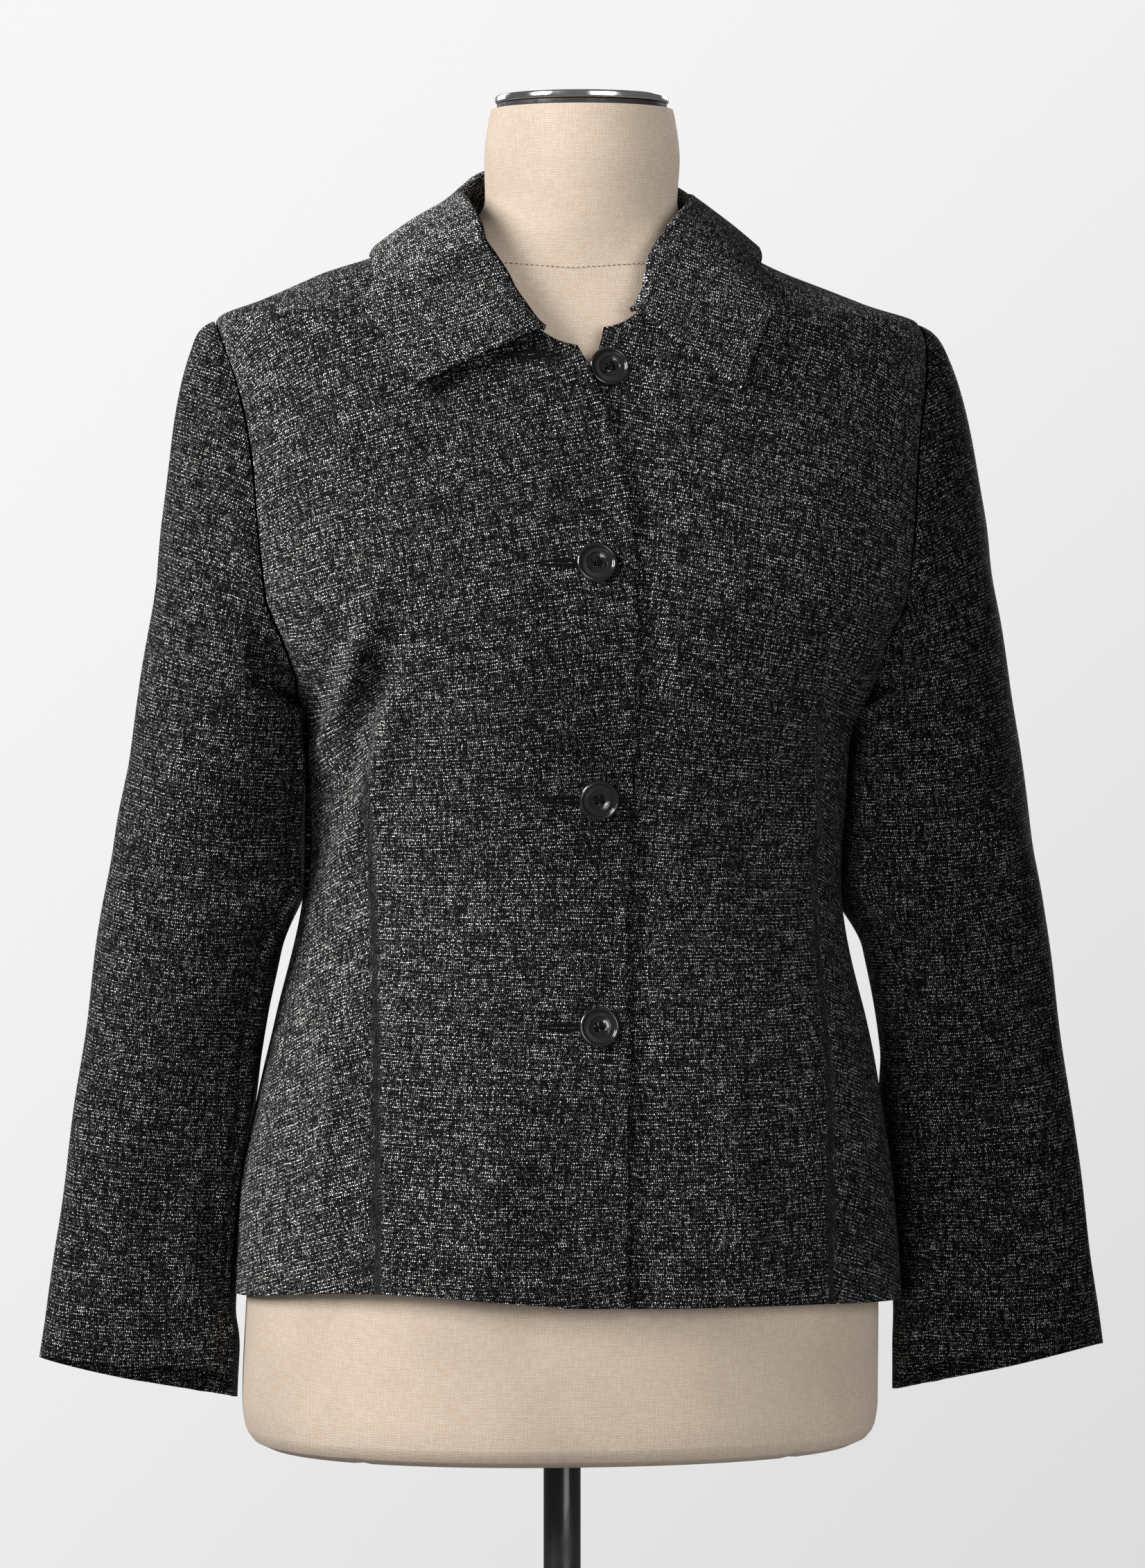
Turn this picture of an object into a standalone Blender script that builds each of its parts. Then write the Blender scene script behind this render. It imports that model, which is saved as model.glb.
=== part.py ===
"""Fitted tweed jacket worn on a limbless dress form with a pole stand.

Metres, +Z up, the front faces -Y and the wearer's left is +X. The origin is on
the floor under the pole. The jacket is a thin wall on a stack of sections; its
panels, sleeves and collar are cut from that surface and stand a seam gap apart.
"""
import math

import bmesh
import bpy
import numpy as np
from mathutils import Vector

# Cloth and seams
CLOTH = 0.0022
COLLAR_CLOTH = 0.0024
SEAM_GAP = 0.0003
HALF_GAP = SEAM_GAP / 2 + 0.00005

# Outer surface of the jacket, a row for each height
SECTION_COLUMNS = ("height", "middle_x", "half_width", "front", "back", "squareness", "widest_y")
JACKET_SECTIONS = (
    (0.7700, 0.0030, 0.1985, 0.1480, 0.1420, 2.20, 0.0),
    (0.8500, 0.0030, 0.1930, 0.1470, 0.1430, 2.20, 0.0),
    (0.9050, 0.0040, 0.1840, 0.1420, 0.1360, 2.20, 0.0),
    (0.9500, 0.0050, 0.1745, 0.1360, 0.1240, 2.20, 0.0),
    (1.0350, 0.0060, 0.1590, 0.1250, 0.1030, 2.20, 0.0),
    (1.0850, 0.0075, 0.1590, 0.1320, 0.1040, 2.25, 0.0),
    (1.1150, 0.0085, 0.1615, 0.1410, 0.1070, 2.30, 0.0),
    (1.1430, 0.0085, 0.1690, 0.1480, 0.1110, 2.35, 0.0),
    (1.1700, 0.0080, 0.1850, 0.1510, 0.1140, 2.40, 0.0),
    (1.2000, 0.0075, 0.2030, 0.1480, 0.1170, 2.40, 0.0),
    (1.2560, 0.0080, 0.2130, 0.1330, 0.1180, 2.40, 0.0),
    (1.3160, 0.0080, 0.2145, 0.1165, 0.1110, 2.35, 0.0),
    (1.3450, 0.0060, 0.2130, 0.1080, 0.1020, 2.32, 0.0),
    (1.3610, 0.0030, 0.2085, 0.1030, 0.0970, 2.30, 0.0),
    (1.3725, -0.0010, 0.1800, 0.0985, 0.0925, 2.25, 0.0),
    (1.3880, -0.0045, 0.1410, 0.0930, 0.0850, 2.20, 0.0),
    (1.4000, 0.0005, 0.1100, 0.0880, 0.0775, 2.20, 0.0),
    (1.4115, 0.0050, 0.0850, 0.0815, 0.0680, 2.20, 0.0),
    (1.4235, 0.0065, 0.0700, 0.0745, 0.0590, 2.20, 0.0),
    (1.4450, 0.0070, 0.0600, 0.0620, 0.0450, 2.20, 0.0),
)

# Linen form inside the jacket, and bare below the hem and at the neck
FORM_SECTIONS = (
    (0.7000, -0.0010, 0.1740, 0.1190, 0.1130, 2.20, 0.0),
    (0.7035, -0.0010, 0.1815, 0.1260, 0.1205, 2.20, 0.0),
    (0.7110, -0.0010, 0.1862, 0.1305, 0.1250, 2.20, 0.0),
    (0.7250, -0.0010, 0.1880, 0.1320, 0.1270, 2.20, 0.0),
    (0.7900, 0.0005, 0.1868, 0.1330, 0.1290, 2.20, 0.0),
    (0.8500, 0.0015, 0.1810, 0.1330, 0.1300, 2.20, 0.0),
    (0.9050, 0.0025, 0.1720, 0.1290, 0.1230, 2.20, 0.0),
    (0.9500, 0.0035, 0.1625, 0.1230, 0.1110, 2.20, 0.0),
    (1.0350, 0.0050, 0.1480, 0.1130, 0.0910, 2.20, 0.0),
    (1.0850, 0.0060, 0.1480, 0.1180, 0.0930, 2.25, 0.0),
    (1.1150, 0.0065, 0.1505, 0.1270, 0.0970, 2.30, 0.0),
    (1.1430, 0.0065, 0.1560, 0.1350, 0.1010, 2.35, 0.0),
    (1.1700, 0.0065, 0.1620, 0.1390, 0.1040, 2.35, 0.0),
    (1.2000, 0.0065, 0.1660, 0.1350, 0.1070, 2.30, 0.0),
    (1.2560, 0.0065, 0.1725, 0.1180, 0.1070, 2.25, 0.0),
    (1.3000, 0.0065, 0.1755, 0.1065, 0.1010, 2.20, 0.0),
    (1.3350, 0.0065, 0.1755, 0.0975, 0.0935, 2.20, 0.0),
    (1.3520, 0.0030, 0.1735, 0.0925, 0.0890, 2.20, 0.0),
    (1.3680, -0.0010, 0.1650, 0.0875, 0.0845, 2.20, 0.0),
    (1.3849, -0.0040, 0.1400, 0.0815, 0.0775, 2.20, 0.0),
    (1.3969, -0.0005, 0.1075, 0.0775, 0.0690, 2.20, -0.001),
    (1.4090, 0.0050, 0.0795, 0.0755, 0.0595, 2.20, -0.005),
    (1.4190, 0.0085, 0.0625, 0.0752, 0.0520, 2.15, -0.010),
    (1.4320, 0.0095, 0.0565, 0.0762, 0.0435, 2.10, -0.016),
    (1.4560, 0.0095, 0.0575, 0.0775, 0.0355, 2.05, -0.021),
    (1.4800, 0.0095, 0.0547, 0.0765, 0.0330, 2.00, -0.0215),
    (1.4850, 0.0095, 0.0535, 0.0752, 0.0318, 2.00, -0.0215),
)
FORM_SIDES = 40

# Hem, neckline and front edge
HEM_FRONT = 0.794
HEM_SIDE = {-1: 0.790, 1: 0.784}
HEM_BACK = 0.788
HEM_LIFT = {-1: 0.0085, 1: 0.0020}
HEM_LIFT_POWER = 4
OVERLAP = 0.0205
UNDERLAP_DROP = CLOTH + 0.0010
UNDERLAP_PAST = 0.004
UNDERLAP_FADE = 0.022
EDGE_OPENS_AT = 1.205
EDGE_POWER = 2.2
NECK_CORNER = 0.009
NECK_HALF_WIDTH = 0.078
NECK_BACK = 0.058
NECK_FRONT = {-1: 0.1088, 1: 0.1052}
NECK_SQUARENESS = 2.6
NECK_SEARCH = (1.300, 1.443)

# Armhole, an oval round the side line
ARMHOLE_PIT = 1.138
ARMHOLE_TIP = 1.3610
ARMHOLE_TURN = math.radians(27.0)

# Panel grids: the armhole and neckline rows are shared with the sleeves and collar
FRONT_COLUMNS = 14
BACK_COLUMNS = 9
SIDE_ROWS = 14
ARMHOLE_ROWS = 12
NECK_ROWS = 7
PANEL_ROWS = SIDE_ROWS + ARMHOLE_ROWS
EDGE_ROWS = PANEL_ROWS - NECK_ROWS
EDGE_AT_PIT = 1.130

# Largest folds of the fronts, in front view: from and to, half width and height
FOLD_COLUMNS = ("side", "x_from", "z_from", "x_to", "z_to", "half_width", "height")
FRONT_FOLDS = (
    (-1, 0.128, 1.200, 0.164, 1.105, 0.012, 0.0045),
    (-1, 0.120, 1.150, 0.150, 1.040, 0.012, 0.0035),
    (-1, 0.150, 0.990, 0.158, 0.830, 0.018, 0.0040),
    (1, 0.150, 1.190, 0.172, 1.120, 0.013, 0.0045),
    (1, 0.160, 1.110, 0.120, 1.030, 0.014, 0.0030),
    (1, 0.150, 0.960, 0.165, 0.830, 0.020, 0.0035),
)

# Sleeve rings below the cap, and the seams of the two-piece sleeve
RING_COLUMNS = ("height", "out", "back", "half_width", "half_depth")
SLEEVE_RINGS = (
    (1.095, 0.2165, 0.006, 0.0495, 0.064),
    (1.011, 0.2255, 0.014, 0.0560, 0.057),
    (0.945, 0.2360, 0.018, 0.0540, 0.050),
    (0.845, 0.2480, 0.020, 0.0550, 0.044),
    (0.738, 0.2565, 0.019, 0.0605, 0.037),
)
SLEEVE_SHIFT = 0.0098
SLEEVE_SQUARENESS = 2.2
SLEEVE_CLEAR = 0.0030
SLEEVE_SOFT = 0.004
HEM_FADE_END = 0.755
HEM_FADE = 0.030
PIT_DROP = 0.004
PIT_FADE = 0.020
CAP_ROWS = 8
ARM_ROWS = 13
UPPER_COLUMNS = 17
UNDER_COLUMNS = 7
FRONT_SEAM = math.radians(135.0)
BACK_SEAM = math.radians(-120.0)
CAP_REACH = 0.020
CAP_REACH_TOP = 0.005
CAP_SLOPE = 0.25
CAP_OVER_LEAST = 0.15
CAP_STRAIGHT = 1.2
CAP_INWARD = 0.15
CAP_SPREAD = 1.25
CAP_HANDLE = 0.38
CAP_HANDLE_TOP = 0.34
CAP_LEAN = 0.10
CAP_LEAN_TOP = 0.05
CUFF_TILT = 0.008
CUFF_LIFT_FRONT = 0.007
CUFF_LIFT_FOLD = 0.009
CUFF_FOLD_AT = math.radians(125.0)
CUFF_FOLD_WIDTH = math.radians(35.0)

# Soft folds of each sleeve: turn round the sleeve, height, reach and depth
SLEEVE_FOLD_COLUMNS = ("turn", "height", "turn_reach", "height_reach", "depth")
SLEEVE_FOLDS = (
    (75.0, 1.030, 38.0, 0.016, -0.0030),
    (100.0, 0.985, 40.0, 0.015, -0.0025),
    (20.0, 1.215, 30.0, 0.022, -0.0020),
    (120.0, 1.070, 35.0, 0.014, -0.0025),
)

# Collar: stand rising from the neckline, a tight roll, and a fall over the shoulder
COLLAR_COLUMNS = ("turn", "edge_turn", "twist", "edge_height", "stand", "lean")
COLLAR_ROWS = (
    (15.0, 22.1, -3.2, 1.3165, 0.0045, 0.36),
    (40.0, 28.1, -3.0, 1.3520, 0.0110, 0.36),
    (65.0, 41.0, -0.8, 1.3800, 0.0165, 0.45),
    (80.0, 56.0, 0.0, 1.3915, 0.0180, 0.58),
    (90.0, 90.0, 0.0, 1.4052, 0.0190, 0.68),
    (112.0, 127.0, 0.0, 1.3990, 0.0235, 0.62),
    (135.0, 142.0, 0.0, 1.3930, 0.0285, 0.52),
    (158.0, 162.0, 0.0, 1.3910, 0.0310, 0.50),
    (180.0, 180.0, 0.0, 1.3900, 0.0320, 0.50),
)
COLLAR_END = math.radians(COLLAR_ROWS[0][0])
ROLL_RADIUS = 0.0021
ROLL_STEPS = 4
STAND_STEPS = 2
FALL_STEPS = 6
FALL_CLEAR = 0.0036
CLEAR_ROUNDS = 3
FALL_BELLY = 0.0015
NECK_CLEAR = 0.0005
FOOT_LIFT = 0.0008

# Buttons: places on the centre front, and the turned profile
BUTTON_RADIUS = 0.0115
BUTTON_SIDES = 20
BUTTON_FOOT = 0.80
# Half section of a button, from its middle over the rim to its foot: share of radius, height
BUTTON_PROFILE = (
    (0.00, 0.0022),
    (0.48, 0.0022),
    (0.58, 0.0030),
    (0.68, 0.0028),
    (0.76, 0.0040),
    (0.90, 0.0042),
    (1.00, 0.0030),
    (0.97, 0.0012),
    (BUTTON_FOOT, 0.0),
    (0.00, 0.0),
)
BUTTON_COLUMNS = ("side", "x", "height")
BUTTONS = (
    (1, 0.0085, 1.3305),
    (-1, -0.0030, 1.2175),
    (-1, 0.0000, 1.0825),
    (-1, 0.0020, 0.9530),
)

# Neck cap and stand
NECK_CENTRE_Y = -0.0215
NECK_TOP = 1.4850
BAND_RADIUS = 0.0500
BAND_HEIGHT = 0.0030
CAP_RADIUS = 0.0510
CAP_HEIGHT = 0.0045
CAP_FLAT = 0.6
CAP_SHOULDER = 0.004
CAP_SIDES = 40
POLE_RADIUS = 0.0110
POLE_SIDES = 24
POLE_IN_FORM = 0.060
BASE_RADIUS = 0.180
BASE_EDGE = 0.008
BASE_TOP = 0.014
BASE_BOSS_RADIUS = 0.021
BASE_BOSS_TOP = 0.045
BASE_SOCKET = 0.005
BASE_ROUND = 0.003
BASE_FILLET = 0.004
BASE_RIM = 0.006

# Materials: colour, roughness, metallic
MATERIALS = {
    "tweed": ((0.020, 0.020, 0.022, 1.0), 0.92, 0.0),
    "linen": ((0.560, 0.490, 0.400, 1.0), 0.88, 0.0),
    "button_black": ((0.012, 0.012, 0.013, 1.0), 0.28, 0.0),
    "chrome": ((0.780, 0.790, 0.800, 1.0), 0.12, 1.0),
    "dark_band": ((0.030, 0.028, 0.026, 1.0), 0.55, 0.0),
    "stand_black": ((0.015, 0.015, 0.016, 1.0), 0.35, 0.2),
}


def curve_through(knots, values, at):
    """Monotone cubic through the knots, held at its end values outside them."""
    knots = np.asarray(knots, float)
    values = np.asarray(values, float)
    steps = np.diff(knots)
    slopes = np.diff(values) / steps
    tangents = np.empty_like(values)
    tangents[0] = slopes[0]
    tangents[-1] = slopes[-1]
    before, after = slopes[:-1], slopes[1:]
    same_way = before * after > 0
    total = np.where(same_way, before + after, 1.0)
    tangents[1:-1] = np.where(same_way, 2 * before * after / total, 0.0)
    at = np.clip(np.asarray(at, float), knots[0], knots[-1])
    k = np.clip(np.searchsorted(knots, at, side="right") - 1, 0, len(steps) - 1)
    h = steps[k]
    t = (at - knots[k]) / h
    return (
        values[k] * (1 + 2 * t) * (1 - t) ** 2
        + values[k + 1] * t * t * (3 - 2 * t)
        + h * tangents[k] * t * (1 - t) ** 2
        + h * tangents[k + 1] * t * t * (t - 1)
    )


def read_table(rows, columns, knot, at):
    """Every other column of a table, read at values of its knot column."""
    table = {name: [row[i] for row in rows] for i, name in enumerate(columns)}
    return {
        name: curve_through(table[knot], table[name], at)
        for name in columns
        if name != knot
    }


def smooth_step(t):
    """Ease from 0 to 1 with flat ends."""
    t = np.clip(t, 0.0, 1.0)
    return t * t * (3 - 2 * t)


def middle_at(sections, z):
    """Sideways place of a stack's middle at a height."""
    return read_table(sections, SECTION_COLUMNS, "height", z)["middle_x"]


def section_point(sections, turn, z, side=1):
    """Point of a stack of sections; turn is 0 at centre front, pi at centre back."""
    turn, z = np.broadcast_arrays(np.asarray(turn, float), np.asarray(z, float))
    s = read_table(sections, SECTION_COLUMNS, "height", z)
    power = 2.0 / s["squareness"]
    sine, cosine = np.sin(turn), np.cos(turn)
    x = side * s["half_width"] * np.sign(sine) * np.abs(sine) ** power
    deep = np.where(cosine > 0, s["front"] + s["widest_y"], s["back"] - s["widest_y"])
    y = s["widest_y"] - deep * np.sign(cosine) * np.abs(cosine) ** power
    return np.stack([s["middle_x"] + x, y, z], axis=-1)


def section_level(sections, points):
    """Size of the section through each point, as a share of the real one."""
    x, y, z = points[..., 0], points[..., 1], points[..., 2]
    s = read_table(sections, SECTION_COLUMNS, "height", z)
    n = s["squareness"]
    deep = np.where(y < s["widest_y"], s["front"] + s["widest_y"], s["back"] - s["widest_y"])
    across = np.abs(x - s["middle_x"]) / s["half_width"]
    along = np.abs(y - s["widest_y"]) / deep
    return (across**n + along**n) ** (1.0 / n)


def push_clear(sections, points, clear, weight=1.0, soft=0.0005):
    """Move points out of a stack of sections so that they stand softly clear of it."""
    step = 1e-4
    level = section_level(sections, points)
    slope = np.stack(
        [
            (section_level(sections, points + step * axis)
             - section_level(sections, points - step * axis)) / (2 * step)
            for axis in np.eye(3)
        ],
        axis=-1,
    )
    steep = np.maximum(np.linalg.norm(slope, axis=-1), 1e-6)
    short = clear - (level - 1.0) / steep
    move = 0.5 * (short + np.sqrt(short**2 + soft**2)) * weight
    return points + slope / steep[..., None] * move[..., None]


def unit(vectors):
    """Vectors at length one."""
    length = np.linalg.norm(vectors, axis=-1, keepdims=True)
    return vectors / np.maximum(length, 1e-12)


def shell_normal(turn, z, side):
    """Outward direction of the jacket's surface."""
    step = 1e-3
    along = section_point(JACKET_SECTIONS, turn + step, z, side)
    along = along - section_point(JACKET_SECTIONS, turn - step, z, side)
    up = section_point(JACKET_SECTIONS, turn, z + step, side)
    up = up - section_point(JACKET_SECTIONS, turn, z - step, side)
    return unit(np.cross(along, up) * side)


def neckline(turn, side):
    """Neckline as turn and height on the jacket's surface, from a turn in plan."""
    turn = np.asarray(turn, float)
    ahead = np.cos(turn) > 0
    power = np.where(ahead, 2 / NECK_SQUARENESS, 1.0)
    deep = np.where(ahead, NECK_FRONT[side], NECK_BACK)
    x = NECK_HALF_WIDTH * np.abs(np.sin(turn)) ** power
    y = -deep * np.sign(np.cos(turn)) * np.abs(np.cos(turn)) ** power
    low = np.full(turn.shape, NECK_SEARCH[0])
    high = np.full(turn.shape, NECK_SEARCH[1])
    for _ in range(40):
        z = (low + high) / 2
        placed = np.stack([x + middle_at(JACKET_SECTIONS, z), y, z], axis=-1)
        inside = section_level(JACKET_SECTIONS, placed) < 1
        low = np.where(inside, z, low)
        high = np.where(inside, high, z)
    z = (low + high) / 2
    s = read_table(JACKET_SECTIONS, SECTION_COLUMNS, "height", z)
    n = s["squareness"]
    depth = np.where(y < 0, s["front"], s["back"])
    angle = np.arctan2((np.abs(x) / s["half_width"]) ** (n / 2), (np.abs(y) / depth) ** (n / 2))
    return np.where(y < 0, angle, math.pi - angle), z


def turn_at(x, z):
    """Turn on the front of the jacket at a sideways distance from its middle."""
    s = read_table(JACKET_SECTIONS, SECTION_COLUMNS, "height", z)
    share = np.clip(np.abs(x) / s["half_width"], 0.0, 1.0)
    return np.sign(x) * np.arcsin(share ** (s["squareness"] / 2))


def armhole(angle, facing):
    """Armhole as turn and height; angle is 0 at the tip, pi at the pit; facing 1 is front."""
    middle = (ARMHOLE_TIP + ARMHOLE_PIT) / 2
    half = (ARMHOLE_TIP - ARMHOLE_PIT) / 2
    turn = math.pi / 2 - facing * ARMHOLE_TURN * np.sin(angle)
    return turn, middle + half * np.cos(angle)


def outer_border(facing, side):
    """Side seam, then armhole up to the shoulder tip."""
    seam_z = np.linspace(HEM_SIDE[side], ARMHOLE_PIT, SIDE_ROWS, endpoint=False)
    arm_turn, arm_z = armhole(np.linspace(math.pi, 0, ARMHOLE_ROWS + 1), facing)
    return (
        np.concatenate([np.full(SIDE_ROWS, math.pi / 2), arm_turn]),
        np.concatenate([seam_z, arm_z]),
    )


def neck_turns(facing):
    """Turns in plan of the neckline's rows, from the middle to the shoulder."""
    if facing < 0:
        return np.linspace(math.pi, math.pi / 2, NECK_ROWS + 1)
    corner = math.asin((NECK_CORNER / NECK_HALF_WIDTH) ** (NECK_SQUARENESS / 2))
    return np.concatenate([[corner], np.linspace(COLLAR_END, math.pi / 2, NECK_ROWS)])


def middle_heights(hem, top):
    """Heights of the rows along a middle edge, from the hem to the neckline."""
    knots = (0, SIDE_ROWS, EDGE_ROWS)
    return np.interp(np.arange(EDGE_ROWS), knots, (hem, EDGE_AT_PIT, top))


def front_border(side):
    """Overlapping front edge, then neckline up to the shoulder."""
    neck_turn, neck_z = neckline(neck_turns(1), side)
    edge_z = middle_heights(HEM_FRONT, neck_z[0])
    opened = np.clip((edge_z - EDGE_OPENS_AT) / (neck_z[0] - EDGE_OPENS_AT), 0, 1)
    edge_x = -OVERLAP + (OVERLAP + NECK_CORNER) * opened**EDGE_POWER
    return (
        np.concatenate([turn_at(edge_x, edge_z), neck_turn]),
        np.concatenate([edge_z, neck_z]),
    )


def back_border(side):
    """Centre back line, then neckline up to the shoulder."""
    neck_turn, neck_z = neckline(neck_turns(-1), side)
    line_z = middle_heights(HEM_BACK, neck_z[0])
    return (
        np.concatenate([np.full(EDGE_ROWS, math.pi), neck_turn]),
        np.concatenate([line_z, neck_z]),
    )


def even_rows(start, end, columns, side):
    """Rows of turn and height between two borders, evenly spaced along the surface."""
    fine = np.linspace(0, 1, columns * 8 + 1)
    turns = start[0][:, None] * (1 - fine) + end[0][:, None] * fine
    heights = start[1][:, None] * (1 - fine) + end[1][:, None] * fine
    points = section_point(JACKET_SECTIONS, turns, heights, side)
    lengths = np.linalg.norm(np.diff(points, axis=1), axis=-1)
    run = np.concatenate([np.zeros((len(turns), 1)), np.cumsum(lengths, axis=1)], axis=1)
    share = np.linspace(0, 1, columns + 1)
    places = np.array([np.interp(share * r[-1], r, fine) for r in run])
    return (
        start[0][:, None] * (1 - places) + end[0][:, None] * places,
        start[1][:, None] * (1 - places) + end[1][:, None] * places,
    )


def fold_height(points, side):
    """Height of the largest folds at points of one front."""
    raised = np.zeros(points.shape[:-1])
    z = points[..., 2]
    x = side * (points[..., 0] - middle_at(JACKET_SECTIONS, z))
    for row in FRONT_FOLDS:
        fold = dict(zip(FOLD_COLUMNS, row))
        if fold["side"] != side:
            continue
        run = np.array([fold["x_to"] - fold["x_from"], fold["z_to"] - fold["z_from"]])
        length = np.linalg.norm(run)
        along = ((x - fold["x_from"]) * run[0] + (z - fold["z_from"]) * run[1]) / length
        across = ((x - fold["x_from"]) * run[1] - (z - fold["z_from"]) * run[0]) / length
        fade = np.sin(math.pi * np.clip(along / length, 0, 1))
        raised += fold["height"] * fade * np.exp(-((across / fold["half_width"]) ** 2))
    return raised


def even_tangent(points, axis):
    """Direction along a grid that halves the angle at each point."""
    points = np.moveaxis(points, axis, 0)
    steps = unit(np.diff(points, axis=0))
    both = np.concatenate([steps[:1], unit(steps[:-1] + steps[1:]), steps[-1:]])
    return np.moveaxis(both, 0, axis)


def pull_back(points, normals, border):
    """Draw one border of a grid back along the cloth by its share of a seam."""
    turned = {
        "left": lambda grid: grid,
        "right": lambda grid: grid[:, ::-1],
        "top": lambda grid: grid[::-1].swapaxes(0, 1),
    }[border]
    grid = turned(points)
    square = unit(np.cross(turned(normals)[:, 0], even_tangent(grid[:, 0], 0)))
    inward = np.sum(square * (grid[:, 1] - grid[:, 0]), axis=-1, keepdims=True)
    grid[:, 0] += square * np.sign(inward) * HALF_GAP


def front_panel(side):
    """Outer points and directions of one front."""
    turns, heights = even_rows(front_border(side), outer_border(1, side), FRONT_COLUMNS, side)
    across = np.sin(math.pi * np.linspace(0, 1, FRONT_COLUMNS + 1)) ** 2
    above_hem = np.clip(1 - np.arange(PANEL_ROWS + 1) / SIDE_ROWS, 0, 1) ** HEM_LIFT_POWER
    heights = heights + HEM_LIFT[side] * above_hem[:, None] * across
    points = section_point(JACKET_SECTIONS, turns, heights, side)
    normals = shell_normal(turns, heights, side)
    points = points + normals * fold_height(points, side)[..., None]
    if side > 0:
        x = points[..., 0] - middle_at(JACKET_SECTIONS, points[..., 2])
        under = 1 - smooth_step((x - OVERLAP - UNDERLAP_PAST) / UNDERLAP_FADE)
        points = points - normals * (UNDERLAP_DROP * under)[..., None]
    pull_back(points, normals, "right")
    pull_back(points, normals, "top")
    return points, normals


def back_half(side):
    """Outer points and directions of half the back, from its middle to one side."""
    turns, heights = even_rows(back_border(side), outer_border(-1, side), BACK_COLUMNS, side)
    points = section_point(JACKET_SECTIONS, turns, heights, side)
    normals = shell_normal(turns, heights, side)
    pull_back(points, normals, "right")
    pull_back(points, normals, "top")
    return points, normals


def sleeve_ring(angle, height, side):
    """Point of a sleeve below its cap, before it is held clear of the body."""
    ring = read_table(SLEEVE_RINGS[::-1], RING_COLUMNS, "height", height)
    step = 0.004
    high = np.minimum(height + step, SLEEVE_RINGS[0][0])
    low = np.maximum(height - step, SLEEVE_RINGS[-1][0])
    above = read_table(SLEEVE_RINGS[::-1], RING_COLUMNS, "height", high)
    below = read_table(SLEEVE_RINGS[::-1], RING_COLUMNS, "height", low)
    slope = (below["out"] - above["out"]) / (high - low)
    power = 2.0 / SLEEVE_SQUARENESS
    cosine, sine = np.cos(angle), np.sin(angle)
    outward = ring["half_width"] * np.sign(cosine) * np.abs(cosine) ** power
    forward = ring["half_depth"] * np.sign(sine) * np.abs(sine) ** power
    tilt = 1 / np.sqrt(1 + slope**2)
    x = SLEEVE_SHIFT + side * (ring["out"] + outward * tilt)
    return np.stack([x, ring["back"] - forward, height + outward * slope * tilt], axis=-1)


def sleeve_point(angle, along, side):
    """Point of a sleeve; along is 0 at the armhole, 1 under the cap, 2 at the cuff."""
    angle, along = np.broadcast_arrays(np.asarray(angle, float), np.asarray(along, float))
    top, cuff = SLEEVE_RINGS[0][0], SLEEVE_RINGS[-1][0]
    height = top + (cuff - top) * np.clip(along - 1, 0, 1)
    ring = sleeve_ring(angle, height, side)
    folded = np.remainder(angle + math.pi, 2 * math.pi) - math.pi
    facing = np.where(folded >= 0, 1.0, -1.0)
    turn, hole_z = armhole(np.abs(folded), facing)
    start = section_point(JACKET_SECTIONS, turn, hole_z, side)
    inward = np.stack([np.zeros_like(turn), facing * np.sin(np.abs(folded)), -np.cos(folded)], -1)
    normal = shell_normal(turn, hole_z, side)
    inward = unit(inward - normal * np.sum(inward * normal, axis=-1, keepdims=True))
    lift = 0.5 + 0.5 * np.cos(folded)
    over_top = np.clip(lift, CAP_OVER_LEAST, 1.0)
    straight = CAP_STRAIGHT * (1 - lift)
    away = np.stack(
        [side * (over_top + straight), np.zeros_like(turn), -CAP_SLOPE * over_top], axis=-1
    )
    away = unit(away + inward * CAP_INWARD)
    start = start + inward * SEAM_GAP + away * SEAM_GAP
    reach = (CAP_REACH + CAP_REACH_TOP * lift)[..., None]
    first = start + away * reach
    drop = np.linalg.norm(ring - start, axis=-1, keepdims=True)
    lean = CAP_LEAN + CAP_LEAN_TOP * lift
    upward = unit(np.stack([-side * lean, np.zeros_like(lean), np.ones_like(lean)], axis=-1))
    last = ring + upward * drop * (CAP_HANDLE + CAP_HANDLE_TOP * lift)[..., None]
    t = np.clip(along, 0, 1)[..., None]
    cap = (
        start * (1 - t) ** 3
        + first * 3 * t * (1 - t) ** 2
        + last * 3 * t * t * (1 - t)
        + ring * t**3
    )
    points = np.where(t < 1, cap, ring)
    z = points[..., 2]
    below_pit = smooth_step((ARMHOLE_PIT - PIT_DROP - z) / PIT_FADE)
    weight = below_pit * smooth_step((z - HEM_FADE_END) / HEM_FADE)
    points = push_clear(JACKET_SECTIONS, points, SLEEVE_CLEAR, weight, SLEEVE_SOFT)
    points = push_clear(FORM_SECTIONS, points, SLEEVE_CLEAR + CLOTH, below_pit, SLEEVE_SOFT)
    past_fold = np.remainder(folded - CUFF_FOLD_AT + math.pi, 2 * math.pi) - math.pi
    front_lift = CUFF_LIFT_FRONT * np.sin(folded) + CUFF_TILT * np.cos(folded)
    front_lift += CUFF_LIFT_FOLD * np.exp(-((past_fold / CUFF_FOLD_WIDTH) ** 2))
    points[..., 2] += front_lift * np.clip(along - 1, 0, 1) ** 4
    return points


def sleeve_fold(angle, points):
    """Depth of the soft folds of a sleeve."""
    depth = np.zeros(points.shape[:-1])
    for row in SLEEVE_FOLDS:
        fold = dict(zip(SLEEVE_FOLD_COLUMNS, row))
        turn = (np.degrees(angle) - fold["turn"]) / fold["turn_reach"]
        rise = (points[..., 2] - fold["height"]) / fold["height_reach"]
        depth += fold["depth"] * np.exp(-(turn**2) - (rise - 0.5 * turn) ** 2)
    return depth


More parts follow.
